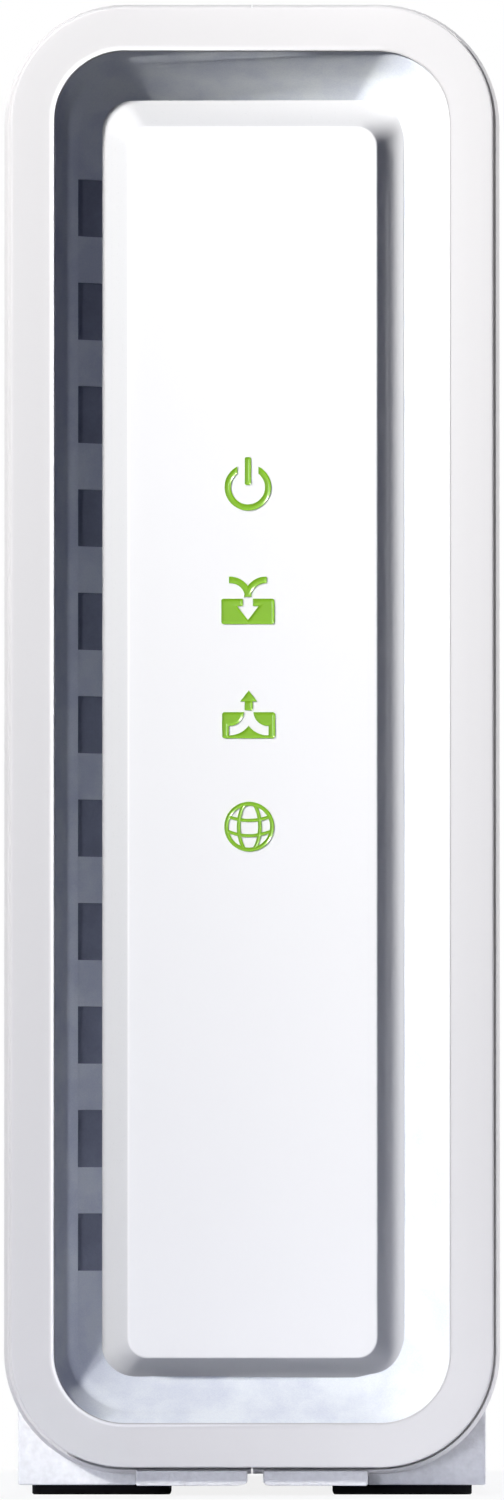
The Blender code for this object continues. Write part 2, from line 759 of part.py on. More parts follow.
def add_rear_panel(bench):
    """Flat plate inside the case's rear edge, with a hole for each socket and screw."""
    jack = rectangle(ETHERNET_AXIS, JACK_HEIGHT + 2 * FIT, JACK_WIDTH + 2 * FIT)
    outlines = [case_outline(SHELL_WALL + FIT, CAVITY_RADIUS - FIT), jack]
    outlines.append(circle(COAX_AXIS, COAX_THREAD_RADIUS + FIT, FINE_STEPS))
    outlines.append(circle(POWER_AXIS, POWER_COLLAR_RADIUS + FIT, FINE_STEPS))
    outlines.append(circle(RESET_AXIS, PINHOLE_RADIUS, ROUND_STEPS))
    for side in (-1, 1):
        outlines += [circle((side * BOSS_X, level), SCREW_RADIUS + FIT) for level in BOSS_LEVELS]
    outlines += rear_slots()
    bench.piece("rear_panel", slab(outlines, ALONG_Y, REAR_IN, REAR_OUT), "rear_grey")


def screw_mesh(length, place):
    """Pan-head screw pointing along local -Z, with its seat at height zero."""
    rim = SCREW_HEAD_HEIGHT * SCREW_RIM_SHARE
    crown = SCREW_HEAD_RADIUS * SCREW_CROWN_SHARE
    profile = [
        (0, SCREW_HEAD_HEIGHT),
        (crown, SCREW_HEAD_HEIGHT),
        (SCREW_HEAD_RADIUS, rim),
        (SCREW_HEAD_RADIUS, 0),
        (SCREW_RADIUS, 0),
        (SCREW_RADIUS, SCREW_RADIUS - length),
        (0, -length),
    ]
    return turned(profile, place, SMALL_STEPS)


def add_screws(bench):
    """Four screws through the rear panel and four through the board."""
    seat = REAR_OUT + FIT
    number = 1
    for side in (-1, 1):
        for level in BOSS_LEVELS:
            place = Matrix.Translation((side * BOSS_X, seat, level)) @ TURN_TO_Y
            reach = PANEL_SCREW_LENGTH - FIT
            bench.piece(f"panel_screw_{number}", screw_mesh(reach, place), "steel", SMOOTH)
            number += 1
    for index, (along, level) in enumerate(post_places()):
        place = Matrix.Translation((BOARD_SEAT, along, level)) @ TURN_TO_X
        reach = BOARD_SCREW_LENGTH - FIT
        bench.piece(f"board_screw_{index + 1}", screw_mesh(reach, place), "steel", SMOOTH)


def add_board(bench):
    """Main board, upright beside the middle of the case, with its screw holes."""
    edge = rectangle_between((BOARD_FRONT, BOARD_BOTTOM), (BOARD_REAR, BOARD_TOP))
    holes = [circle(place, SCREW_RADIUS + FIT) for place in post_places()]
    mesh = slab([edge, *holes], ALONG_X, BOARD_BACK, BOARD_FACE)
    bench.piece("main_board", mesh, "board_green")


def chip(bench, name, finish, along, level, length, height, thickness, seat=BOARD_SEAT):
    """A flat block on the board, or on what lies at seat, centred at (along, level)."""
    low = (seat, along - length / 2, level - height / 2)
    high = (seat + thickness, along + length / 2, level + height / 2)
    return bench.piece(name, block(low, high), finish)


def sink_outline(along, seat):
    """Comb outline of the heat sink, as (x, y): a base with fins standing on it."""
    base = seat + SINK_BASE
    tip = base + SINK_FIN_HEIGHT
    start = along - SINK_SIZE / 2
    end = along + SINK_SIZE / 2
    pitch = (SINK_SIZE - SINK_FIN) / (SINK_FIN_COUNT - 1)
    points = [(seat, end), (seat, start)]
    for fin in range(SINK_FIN_COUNT):
        near = start + pitch * fin
        far = near + SINK_FIN
        stretch = [(base, near), (tip, near), (tip, far), (base, far)]
        if fin == 0:
            stretch = stretch[1:]
        if fin == SINK_FIN_COUNT - 1:
            stretch = stretch[:-1]
        points += stretch
    return points


def add_processor(bench):
    """Main chip under its thermal pad and heat sink, near the front of the board."""
    along = BOARD_FRONT + LED_DEPTH + SINK_MARGIN + SINK_SIZE / 2
    level = BOARD_TOP - SINK_TOP - SINK_SIZE / 2
    chip(bench, "main_chip", "black_plastic", along, level, CHIP_SIZE, CHIP_SIZE, CHIP_HEIGHT)
    pad_seat = BOARD_SEAT + CHIP_HEIGHT + FIT
    pad = THERMAL_PAD_SIZE
    chip(bench, "thermal_pad", "soft_grey", along, level, pad, pad, THERMAL_PAD_HEIGHT, pad_seat)
    sink_seat = pad_seat + THERMAL_PAD_HEIGHT + FIT
    bottom = level - SINK_SIZE / 2
    mesh = slab([sink_outline(along, sink_seat)], ALONG_Z, bottom, bottom + SINK_SIZE)
    bench.piece("heat_sink", mesh, "bare_metal")

    below = bottom - COLUMN_GAP
    level = below - MEMORY_HEIGHT / 2
    chip(bench, "memory_chip", "black_plastic", along, level, MEMORY_LENGTH, MEMORY_HEIGHT, MEMORY_THICKNESS)
    below = below - MEMORY_HEIGHT - COLUMN_GAP
    level = below - FLASH_SIZE / 2
    chip(bench, "flash_chip", "black_plastic", along, level, FLASH_SIZE, FLASH_SIZE, FLASH_THICKNESS)
    below = below - FLASH_SIZE - COLUMN_GAP
    level = below - CRYSTAL_WIDTH / 2
    outline = rounded((along, level), CRYSTAL_LENGTH, CRYSTAL_WIDTH, CRYSTAL_RADIUS, SMALL_CORNER_STEPS)
    mesh = slab([outline], ALONG_X, BOARD_SEAT, BOARD_SEAT + CRYSTAL_HEIGHT)
    bench.piece("crystal", mesh, "bare_metal", SMOOTH)


def add_tuner(bench):
    """Tin can over the tuner, open to the board, in front of the coax socket."""
    far = COAX_BLOCK_DEPTH + TUNER_GAP
    along = REAR_IN - far - TUNER_LENGTH / 2
    level = COAX_AXIS[1]
    can = chip(bench, "tuner_can", "bare_metal", along, level, TUNER_LENGTH, TUNER_HEIGHT, TUNER_RISE)
    half_length = TUNER_LENGTH / 2 - TUNER_WALL
    half_height = TUNER_HEIGHT / 2 - TUNER_WALL
    low = (BOARD_SEAT - OVERCUT, along - half_length, level - half_height)
    high = (BOARD_SEAT + TUNER_RISE - TUNER_WALL, along + half_length, level + half_height)
    bench.cut(can, block(low, high))


def add_supply(bench):
    """Capacitors and coil of the supply, in front of the power inlet."""
    level = POWER_AXIS[1]
    along = BOARD_REAR - INPUT_CAP_REAR
    top = BOARD_SEAT + INPUT_CAP_HEIGHT
    mesh = cylinders([(along, level)], INPUT_CAP_RADIUS, TURN_TO_X, BOARD_SEAT, top)
    bench.piece("input_capacitor", mesh, "can_blue", SMOOTH)
    lower = level - INPUT_CAP_RADIUS - CAP_GAP - FILTER_CAP_RADIUS
    top = BOARD_SEAT + FILTER_CAP_HEIGHT
    mesh = cylinders([(along, lower)], FILTER_CAP_RADIUS, TURN_TO_X, BOARD_SEAT, top)
    bench.piece("filter_capacitor", mesh, "can_blue", SMOOTH)
    along = along - INPUT_CAP_RADIUS - CAP_GAP - INDUCTOR_SIZE / 2
    outline = rounded((along, level), INDUCTOR_SIZE, INDUCTOR_SIZE, INDUCTOR_RADIUS, SMALL_CORNER_STEPS)
    mesh = slab([outline], ALONG_X, BOARD_SEAT, BOARD_SEAT + INDUCTOR_HEIGHT)
    bench.piece("power_inductor", mesh, "soft_grey")


def add_ethernet(bench):
    """Ethernet socket with its port, latch slot, contacts and two link lights."""
    across, level = ETHERNET_AXIS
    face = REAR_OUT + JACK_PROUD
    foot = across - JACK_HEIGHT / 2
    low = (foot, face - JACK_DEPTH, level - JACK_WIDTH / 2)
    high = (foot + JACK_HEIGHT, face, level + JACK_WIDTH / 2)
    jack = bench.piece("ethernet_jack", block(low, high), "black_plastic")
    floor = foot + PORT_FLOOR
    ceiling = floor + PORT_HEIGHT
    out = face + OVERCUT
    low = (floor, face - PORT_DEPTH, level - PORT_WIDTH / 2)
    bench.cut(jack, block(low, (ceiling, out, level + PORT_WIDTH / 2)))
    low = (ceiling - ROOT, face - TAB_DEPTH, level - TAB_WIDTH / 2)
    bench.cut(jack, block(low, (ceiling + TAB_HEIGHT, out, level + TAB_WIDTH / 2)))

    lamp_low = ceiling + LINK_LIGHT_WALL + FIT
    lamp_z = TAB_WIDTH / 2 + LINK_LIGHT_WALL + FIT + LINK_LIGHT_WIDTH / 2
    for name, side in (("link_light_left", -1), ("link_light_right", 1)):
        centre = level + side * lamp_z
        low = (lamp_low, face - LINK_LIGHT_DEPTH, centre - LINK_LIGHT_WIDTH / 2)
        high = (lamp_low + LINK_LIGHT_HEIGHT, face, centre + LINK_LIGHT_WIDTH / 2)
        bench.piece(name, block(low, high), "clear_plastic")
        pocket = [value - FIT for value in low]
        bench.cut(jack, block(pocket, (high[0] + FIT, out, high[2] + FIT)))
    add_contacts(bench, floor + FIT, face - CONTACT_SETBACK, level)


def contact_outline(level):
    """Comb outline of the contacts, as (y, z): a bar at zero with wires running back from it."""
    half = CONTACT_PITCH * (CONTACT_COUNT - 1) / 2 + CONTACT_WIDTH / 2
    top = level + half
    bottom = level - half
    points = [(-CONTACT_BAR, top), (0, top), (0, bottom), (-CONTACT_BAR, bottom)]
    for wire in range(CONTACT_COUNT):
        low = bottom + CONTACT_PITCH * wire
        high = low + CONTACT_WIDTH
        stretch = [
            (-CONTACT_BAR, low),
            (-CONTACT_LENGTH, low),
            (-CONTACT_LENGTH, high),
            (-CONTACT_BAR, high),
        ]
        if wire == 0:
            stretch = stretch[1:]
        if wire == CONTACT_COUNT - 1:
            stretch = stretch[:-1]
        points += stretch
    return points


def add_contacts(bench, floor, front, level):
    """Sprung wires in the port, rising from its floor as they run in."""
    mesh = slab([contact_outline(level)], ALONG_X, 0, CONTACT_THICKNESS)
    slope = math.asin(CONTACT_RISE / CONTACT_LENGTH)
    mesh.transform(Matrix.Translation((floor, front, 0)) @ Matrix.Rotation(slope, 4, "Z"))
    bench.piece("ethernet_contacts", mesh, "brass")


def coax_profile(tip, bottom):
    """Barrel of the coax socket with its thread as ridges, bored from the tip; lengths along local Z."""
    ridges = int((COAX_REACH - 2 * COAX_PLAIN) / COAX_PITCH)
    profile = [(0, tip - COAX_BORE_DEPTH), (COAX_BORE_RADIUS, tip - COAX_BORE_DEPTH)]
    profile += [(COAX_BORE_RADIUS, tip), (COAX_ROOT_RADIUS, tip)]
    for ridge in range(ridges):
        start = tip - COAX_PLAIN / 2 - COAX_PITCH * ridge
        profile.append((COAX_ROOT_RADIUS, start))
        profile.append((COAX_THREAD_RADIUS, start - COAX_PITCH / 2))
    profile.append((COAX_ROOT_RADIUS, tip - COAX_PLAIN / 2 - COAX_PITCH * ridges))
    profile += [(COAX_ROOT_RADIUS, bottom), (0, bottom)]
    return profile


def add_coax(bench):
    """Coax socket: a block on the board, a threaded barrel through the panel, washer and nut."""
    across, level = COAX_AXIS
    half = COAX_BLOCK / 2
    block_rear = REAR_IN - FIT
    low = (across - half, block_rear - COAX_BLOCK_DEPTH, level - half)
    body = bench.piece("coax_body", block(low, (across + half, block_rear, level + half)), "bare_metal")
    tip = REAR_OUT + COAX_REACH
    place = Matrix.Translation((across, 0, level)) @ TURN_TO_Y
    bench.join(body, turned(coax_profile(tip, block_rear - ROOT), place, FINE_STEPS))

    floor = tip - COAX_BORE_DEPTH + FIT
    outer = COAX_BORE_RADIUS - FIT
    mouth = floor + COAX_INSERT_LENGTH
    profile = [(0, floor + FIT), (COAX_PIN_HOLE, floor + FIT), (COAX_PIN_HOLE, mouth), (outer, mouth)]
    profile += [(outer, floor), (0, floor)]
    bench.piece("coax_insert", turned(profile, place, ROUND_STEPS), "insert_white", SMOOTH)

    bore = circle(COAX_AXIS, COAX_THREAD_RADIUS + FIT, FINE_STEPS)
    seat = REAR_OUT + FIT
    ring = circle(COAX_AXIS, WASHER_RADIUS, FINE_STEPS)
    mesh = slab([ring, bore], ALONG_Y, seat, seat + WASHER_THICKNESS)
    bench.piece("coax_washer", mesh, "steel", SMOOTH)
    seat = seat + WASHER_THICKNESS + FIT
    hexagon = circle(COAX_AXIS, NUT_FLATS / math.sqrt(3), NUT_SIDES)
    mesh = slab([hexagon, bore], ALONG_Y, seat, seat + NUT_THICKNESS)
    bench.piece("coax_nut", mesh, "brass", SMOOTH)


def add_power_inlet(bench):
    """Power inlet: a block on the board with a round collar through the panel, and its pin."""
    across, level = POWER_AXIS
    rear = REAR_IN - FIT
    low = (across - POWER_HEIGHT / 2, rear - POWER_DEPTH, level - POWER_WIDTH / 2)
    high = (across + POWER_HEIGHT / 2, rear, level + POWER_WIDTH / 2)
    jack = bench.piece("power_jack", block(low, high), "black_plastic", SMOOTH)
    place = [POWER_AXIS]
    collar = cylinders(place, POWER_COLLAR_RADIUS, TURN_TO_Y, rear - ROOT, REAR_OUT + FIT, FINE_STEPS)
    bench.join(jack, collar)
    floor = REAR_OUT + FIT - POWER_BORE_DEPTH
    bore = cylinders(place, POWER_BORE_RADIUS, TURN_TO_Y, floor, REAR_OUT + OVERCUT, FINE_STEPS)
    bench.cut(jack, bore)
    seat = floor + FIT
    turn = Matrix.Translation((across, 0, level)) @ TURN_TO_Y
    tip = seat + POWER_PIN_LENGTH
    shoulder = tip - POWER_PIN_RADIUS
    profile = [(0, tip), (POWER_PIN_RADIUS * POWER_PIN_TIP_SHARE, tip), (POWER_PIN_RADIUS, shoulder)]
    profile += [(POWER_PIN_RADIUS, seat), (0, seat)]
    bench.piece("power_jack_pin", turned(profile, turn, SMALL_STEPS), "bare_metal", SMOOTH)


def add_reset(bench):
    """Reset switch on the board: base, cover and the plunger that slides in behind the pinhole."""
    across, level = RESET_AXIS
    end = REAR_IN - RESET_STANDOFF
    cover_out = end - RESET_STEM
    cover_in = cover_out - RESET_COVER
    half = RESET_SIZE / 2
    square = rectangle(RESET_AXIS, RESET_SIZE, RESET_SIZE)
    hole = circle(RESET_AXIS, RESET_STEM_RADIUS + FIT)
    mesh = slab([square, hole], ALONG_Y, cover_in, cover_out)
    bench.piece("reset_switch_cover", mesh, "bare_metal")

    flange_rear = cover_in - FIT
    flange_front = flange_rear - RESET_FLANGE
    chamber = flange_front - RESET_TRAVEL - FIT
    low = (across - half, chamber - RESET_BACK, level - half)
    high = (across + half, flange_rear, level + half)
    base = bench.piece("reset_switch_base", block(low, high), "black_plastic")
    bore = RESET_FLANGE_RADIUS + FIT
    bench.cut(base, cylinders([RESET_AXIS], bore, TURN_TO_Y, chamber, flange_rear + OVERCUT))

    profile = [
        (0, end),
        (RESET_STEM_RADIUS, end),
        (RESET_STEM_RADIUS, flange_rear),
        (RESET_FLANGE_RADIUS, flange_rear),
        (RESET_FLANGE_RADIUS, flange_front),
        (0, flange_front),
    ]
    shifted = [(radius, height - end) for radius, height in profile]
    mesh = turned(shifted, TURN_TO_Y, ROUND_STEPS)
    plunger = bench.piece("reset_plunger", mesh, "black_plastic", SMOOTH)
    plunger.location = (across, end, level)


def pipe_outline(tail_low, tail_high, tail, tip):
    """Light pipe seen from above, as (x, y): from its lamp it jogs over to the middle."""
    half = PIPE_WIDTH / 2
    jog = (tail + tip) / 2
    return [(tail_low, tail), (tail_high, tail), (half, jog), (half, tip), (-half, tip), (-half, jog)]


def add_lights(bench):
    """Lamps on the board's front edge, the pipes in front of them and the box round the pipes."""
    lamp_x = BOARD_SEAT + LED_HEIGHT / 2
    tail_low = lamp_x - PIPE_TAIL / 2
    tail_high = lamp_x + PIPE_TAIL / 2
    along = BOARD_FRONT + LED_DEPTH / 2
    tail = BOARD_FRONT - FIT
    tip = FRONT_Y + PANEL_FACE_DEPTH + PANEL_WALL + FIT
    outline = pipe_outline(tail_low, tail_high, tail, tip)
    pocket_low = tail_low - FIT
    pocket_high = PIPE_WIDTH / 2 + FIT
    pocket_half = PIPE_HEIGHT / 2 + FIT
    pockets = []
    for row, level in enumerate(SIGN_LEVELS):
        number = row + 1
        chip(bench, f"status_light_{number}", "lamp_white", along, level, LED_DEPTH, LED_WIDTH, LED_HEIGHT)
        mesh = slab([outline], ALONG_Z, level - PIPE_HEIGHT / 2, level + PIPE_HEIGHT / 2)
        bench.piece(f"light_pipe_{number}", mesh, "clear_plastic")
        low = (pocket_low, level - pocket_half)
        high = (pocket_high, level + pocket_half)
        pockets.append(rectangle_between(low, high))
    wall = LIGHT_BOX_WALL
    bottom = SIGN_LEVELS[-1] - pocket_half - wall
    top = SIGN_LEVELS[0] + pocket_half + wall
    edge = rectangle_between((pocket_low - wall, bottom), (pocket_high + wall, top))
    front = FRONT_Y + CHANNEL_BACK + FIT
    bench.piece("light_box", slab([edge, *pockets], ALONG_Y, front, tail), "black_plastic")


def main():
    clear_scene()
    bench = Bench()
    add_front_frame(bench)
    add_vent_channel(bench)
    add_front_panel(bench)
    add_shell(bench, "left_shell", -1)
    add_shell(bench, "right_shell", 1)
    add_pads(bench)
    add_rear_panel(bench)
    add_screws(bench)
    add_board(bench)
    add_processor(bench)
    add_tuner(bench)
    add_supply(bench)
    add_ethernet(bench)
    add_coax(bench)
    add_power_inlet(bench)
    add_reset(bench)
    add_lights(bench)


main()
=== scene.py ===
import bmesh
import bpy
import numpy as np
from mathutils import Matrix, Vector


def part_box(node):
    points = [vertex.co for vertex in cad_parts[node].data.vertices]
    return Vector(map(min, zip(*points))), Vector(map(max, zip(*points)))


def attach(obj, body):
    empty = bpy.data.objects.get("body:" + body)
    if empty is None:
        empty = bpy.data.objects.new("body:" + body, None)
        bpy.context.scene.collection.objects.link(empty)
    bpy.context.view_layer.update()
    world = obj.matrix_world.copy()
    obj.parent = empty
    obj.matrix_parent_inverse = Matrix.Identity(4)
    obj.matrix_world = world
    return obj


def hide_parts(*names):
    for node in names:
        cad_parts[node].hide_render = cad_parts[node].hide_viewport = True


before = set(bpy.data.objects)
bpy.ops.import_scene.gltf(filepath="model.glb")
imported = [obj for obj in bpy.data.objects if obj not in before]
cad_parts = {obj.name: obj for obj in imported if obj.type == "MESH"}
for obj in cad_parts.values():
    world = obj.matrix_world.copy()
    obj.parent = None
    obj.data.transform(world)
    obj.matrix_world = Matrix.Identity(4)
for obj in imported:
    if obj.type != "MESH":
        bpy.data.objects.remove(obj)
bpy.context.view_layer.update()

# %% [markdown]
# # A cable modem, seen from the front
# The CAD frame is loaded above and stays where it is. This lesson puts the looks on it: better shapes
# for what the eye sees, finishes made of maths, a soft lamp from the upper left with a few weak helpers,
# and a camera. All sizes below are in millimetres, because that is how such a case is drawn.

MM = 0.001
ring_low, ring_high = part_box("front_frame")
FRONT = ring_low.y / MM
MIDDLE = (ring_low.z + ring_high.z) / 2 / MM
print("front plane at y", round(FRONT, 2), "middle of the ring at z", round(MIDDLE, 2))

# %% [markdown]
# ## Shader maths that reads like maths
# A finish is a small formula: a base colour, a bit of cloud in it, a grain that the light catches.
# Node trees hide such formulas in boxes and wires. This class wraps one socket, so that sums of
# sockets can be written as sums, and any other node is one call with its settings and its inputs.


# %% The Wire class
class Wire:
    """One output socket of a shader tree, usable in sums: a + b, 2 * a, 1 - a, a / b."""

    def __init__(self, tree, socket):
        self.tree, self.socket = tree, socket

    def node(self, kind, settings=None, sockets=None, output=0):
        """Any node of this tree: its settings first, then its socket values or links."""
        made = self.tree.nodes.new("ShaderNode" + kind)
        for key, value in (settings or {}).items():
            setattr(made, key, value)
        feed(made, sockets or {})
        return Wire(self.tree, made.outputs[output])

    def maths(self, operation, first, second):
        """One Math node on two numbers or wires."""
        return self.node("Math", {"operation": operation}, {0: first, 1: second})

    def __add__(self, other):
        return self.maths("ADD", self, other)

    def __sub__(self, other):
        return self.maths("SUBTRACT", self, other)

    def __rsub__(self, other):
        return self.maths("SUBTRACT", other, self)

    def __mul__(self, other):
        return self.maths("MULTIPLY", self, other)

    def __truediv__(self, other):
        return self.maths("DIVIDE", self, other)

    def __rtruediv__(self, other):
        return self.maths("DIVIDE", other, self)

    __radd__ = __add__
    __rmul__ = __mul__

    def ramp(self, low, high):
        """0 below low, 1 above high, smooth between."""
        sockets = {"Value": self, "From Min": low, "From Max": high}
        return self.node("MapRange", {"interpolation_type": "SMOOTHSTEP"}, sockets)

    def mix(self, first, second):
        """The first colour where this is 0, the second where it is 1."""
        return self.node("Mix", {"data_type": "RGBA"}, {0: self, 6: first, 7: second}, 2)

    def noise(self, size_mm, detail=2.0):
        """Cloud from 0 to 1 over this place, with lumps of that size."""
        return self.node("TexNoise", {}, {"Vector": self, "Scale": 1 / (size_mm * MM), "Detail": detail})

    def bump(self, depth_mm):
        """A normal that stands up by depth_mm where this is 1."""
        return self.node("Bump", {}, {"Height": self, "Distance": depth_mm * MM, "Strength": 1.0})

    def stretched(self, x, y, z):
        """This place with each axis multiplied, to draw a texture out into lines."""
        return self.node("VectorMath", {"operation": "MULTIPLY"}, {0: self, 1: (x, y, z)})



# %% Helpers for finishes
def feed(node, sockets):
    """Links a Wire to a named socket, or sets a plain value on it."""
    for key, value in sockets.items():
        if isinstance(value, Wire):
            value.tree.links.new(value.socket, node.inputs[key])
        else:
            node.inputs[key].default_value = value


def new_finish(name):
    """A new material: itself, its Principled shader, and the place on the object as a Wire."""
    material = bpy.data.materials.new(name)
    material.use_nodes = True
    tree = material.node_tree
    place = Wire(tree, tree.nodes.new("ShaderNodeTexCoord").outputs["Object"])
    print("finish:", name)
    return material, tree.nodes["Principled BSDF"], place


def rgb(colour, factor=1.0):
    """A colour with alpha, made darker or paler by a factor."""
    return (*(min(1.0, factor * c) for c in colour), 1.0)


# %% [markdown]
# ## Moulded plastic
# The case is white plastic from a steel mould. The mould is spark eroded, so the surface has a grain of
# a fifth of a millimetre that only shows in how the light breaks up. Over centimetres the colour drifts
# a little. So the recipe is two noises: a large one in the colour, a small one in roughness and normal.


# %% Plastics and rubber
CLOUD_MM, DETAIL, GRAIN_SHEEN = 22.0, 3.0, 0.16


def moulded(name, colour, roughness, grain_mm, depth_mm, drift=0.03, cloud_mm=CLOUD_MM, shine=0.5):
    """Plastic with a slow drift in its colour and a fine mould grain."""
    material, shader, place = new_finish(name)
    cloud = place.noise(cloud_mm, DETAIL)
    grain = place.noise(grain_mm, DETAIL)
    feed(shader, {
        "Base Color": cloud.mix(rgb(colour, 1 - drift), rgb(colour, 1 + drift / 2)),
        "Roughness": roughness + GRAIN_SHEEN * (grain - 0.5),
        "Normal": grain.bump(depth_mm),
        "Specular IOR Level": shine,
    })
    return material


CASE_WHITE, BASE_WHITE = (0.735, 0.72, 0.711), (0.97, 0.957, 0.95)
CASE = moulded("case white", CASE_WHITE, roughness=0.5, grain_mm=0.22, depth_mm=0.006, shine=0.25)
BASE = moulded(
    "base white, coarse grain", BASE_WHITE, roughness=0.55, grain_mm=0.5, depth_mm=0.1,
    drift=0.2, cloud_mm=0.55,
)
REAR = moulded("rear panel grey", (0.72, 0.72, 0.74), roughness=0.55, grain_mm=0.3, depth_mm=0.012)
RUBBER = moulded(
    "pad rubber", (0.012, 0.012, 0.013), roughness=0.85, grain_mm=0.12, depth_mm=0.02,
    drift=0.2, shine=0.12,
)
SOCKET = moulded("socket black", (0.022, 0.022, 0.024), 0.42, grain_mm=0.25, depth_mm=0.006, drift=0.15)
CHIP = moulded("chip black", (0.02, 0.02, 0.022), 0.6, grain_mm=0.08, depth_mm=0.006, drift=0.15)
INSERT = moulded("insert white", (0.86, 0.85, 0.80), 0.45, grain_mm=0.2, depth_mm=0.004)
SOFT = moulded("thermal pad grey", (0.45, 0.46, 0.48), 0.8, grain_mm=0.15, depth_mm=0.01)
SLEEVE = moulded("capacitor sleeve", (0.10, 0.13, 0.28), 0.3, grain_mm=0.4, depth_mm=0.002, drift=0.1)


# %% [markdown]
# The panel is the same plastic, but its face is a brighter white than its flanks, with the signs on it; the
# darker flanks are painted shade. Seen from the front the face ends where the flanks begin, so the colour
# only has to ask how deep a point lies behind the front plane. The ring's bead is painted brighter than
# its face, a painted highlight, and it stands nearer to that plane, so the same recipe serves for the ring.


# %% Panel with painted flank shade, ring with a painted bead highlight
TONE_EDGE, TONE_DRIFT, SKIN_GRAIN, SKIN_GRAIN_DEPTH = 0.06, 0.015, 0.3, 0.0015


def painted_by_depth(name, plastic, front_tone, front_depth, roughness, shine):
    """Plastic with another colour on everything nearer than a given depth to the front plane: painted shade
    and highlights.
    """
    material, shader, place = new_finish(name)
    depth = place.node("SeparateXYZ", {}, {0: place}, 1) / MM - FRONT
    on_flank = depth.ramp(front_depth - TONE_EDGE, front_depth + TONE_EDGE)
    grain = place.noise(SKIN_GRAIN, DETAIL)
    tone = 1 - TONE_DRIFT + TONE_DRIFT * place.noise(CLOUD_MM, DETAIL)
    feed(shader, {
        "Base Color": tone.mix((0, 0, 0, 1), on_flank.mix(rgb(front_tone), rgb(plastic))),
        "Roughness": roughness + GRAIN_SHEEN * (grain - 0.5),
        "Normal": grain.bump(SKIN_GRAIN_DEPTH),
        "Specular IOR Level": shine,
    })
    return material


# The flanks keep the darker plastic colour and the face takes the brighter one: painted shade on the flanks.
PANEL = painted_by_depth(
    "panel white, painted flank shade", plastic=(0.765, 0.762, 0.76), front_tone=(0.905, 0.897, 0.885), front_depth=1.12,
    roughness=0.3, shine=0.05,
)
# Only the bead's crest lies near enough to the front plane for the brighter colour: a painted highlight.
RING = painted_by_depth(
    "ring white, painted bead highlight", plastic=CASE_WHITE, front_tone=(0.97, 0.96, 0.955), front_depth=0.09, roughness=0.5, shine=0.25
)


# %% [markdown]
# ## Silver channel
# The channel between ring and panel is sprayed with silver lacquer: tiny flakes in a clear coat. Each
# flake lies a little differently, so under a lens the surface is a field of cells, each with its own
# brightness. A Voronoi texture gives the cells, and a slow cloud lies over them, because the coat is not
# equally thick everywhere. The colour itself is a pale, cool grey.


# %% The lacquer
LACQUER_CLOUD, LACQUER_DETAIL, FLAKE_SHARE, FLAKE_TILT = 4.0, 4.0, 0.3, 0.004
CLOUD_LOW, CLOUD_HIGH, THIN_COAT, THICK_COAT = 0.3, 0.7, 0.88, 1.1
LACQUER_ROUGH, FLAKE_SHEEN = 0.48, 0.12


def lacquer(name, colour, flake_mm):
    """Silver paint without gloss: cells of slightly different tone and tilt under a cloud."""
    material, shader, place = new_finish(name)
    flake = place.node("TexVoronoi", {}, {"Vector": place, "Scale": 1 / (flake_mm * MM)}, "Color")
    tone = flake.node("SeparateColor", {}, {0: flake}, 0)
    cloud = place.noise(LACQUER_CLOUD, LACQUER_DETAIL).ramp(CLOUD_LOW, CLOUD_HIGH)
    coat = FLAKE_SHARE * tone + (1 - FLAKE_SHARE) * cloud
    feed(shader, {
        "Base Color": coat.mix(rgb(colour, THIN_COAT), rgb(colour, THICK_COAT)),
        "Roughness": LACQUER_ROUGH + FLAKE_SHEEN * tone,
        "Specular IOR Level": 0.0,
        "Normal": tone.bump(FLAKE_TILT),
    })
    return material


SILVER = lacquer("channel silver", (0.88, 0.915, 1.0), flake_mm=0.09)
# A dark copy of the lacquer for the strip behind the slots: painted shade.
SCREEN = lacquer("slot screen, painted shade", (0.34, 0.36, 0.43), flake_mm=0.2)


# %% [markdown]
# ## Metals
# Nickel, tin, zinc, aluminium and gold flash are the same recipe with different colours: fully metallic,
# with fine lines from rolling or turning that break up the reflections. Lines are a noise that is drawn
# out along one axis.


# %% Metal recipe
LINE_MM, LINE_DEPTH, LINE_SHEEN, METAL_CLOUD, METAL_DULL, METAL_CLEAN = 0.4, 0.002, 0.14, 6.0, 0.9, 1.05


def metal(name, colour, roughness, lines=(1.0, 1.0, 1.0)):
    """Bare metal whose noise is stretched along one axis by small factors in `lines`."""
    material, shader, place = new_finish(name)
    streak = place.stretched(*lines).noise(LINE_MM, DETAIL)
    feed(shader, {
        "Base Color": place.noise(METAL_CLOUD).mix(rgb(colour, METAL_DULL), rgb(colour, METAL_CLEAN)),
        "Roughness": roughness + LINE_SHEEN * (streak - 0.5),
        "Metallic": 1.0,
        "Normal": streak.bump(LINE_DEPTH),
    })
    return material


NICKEL = metal("nickel", (0.72, 0.71, 0.68), roughness=0.24)
ZINC = metal("zinc", (0.55, 0.55, 0.56), roughness=0.34)
TIN = metal("tin plate", (0.72, 0.71, 0.68), roughness=0.32, lines=(1.0, 1.0, 0.08))
ALUMINIUM = metal("aluminium", (0.72, 0.72, 0.73), roughness=0.38, lines=(1.0, 0.05, 1.0))
GOLD = metal("gold flash", (0.83, 0.66, 0.33), roughness=0.25, lines=(1.0, 0.1, 1.0))


# %% [markdown]
# ## Things that let light through
# The signs are green translucent plastic lit from behind, so they give off a little of their own light.
# The lamps and light pipes behind the panel work the same way. The board is glass fibre under green
# lacquer: two crossed sets of lines show the weave through it.


# %% Lit and clear plastics, and the board
LIT_CLOUD, LIT_GRAIN, LIT_SHEEN = 1.1, 0.2, 0.1
LIT_DARK, LIT_PALE, GLOW_DARK, GLOW_PALE = 0.94, 1.04, 0.9, 1.1
THREAD_MM, THREAD_DRAW, THREAD_DARK, THREAD_PALE = 0.5, 0.04, 0.7, 1.3
WEAVE_DEPTH, WEAVE_ROUGH, WEAVE_SHEEN = 0.01, 0.3, 0.2


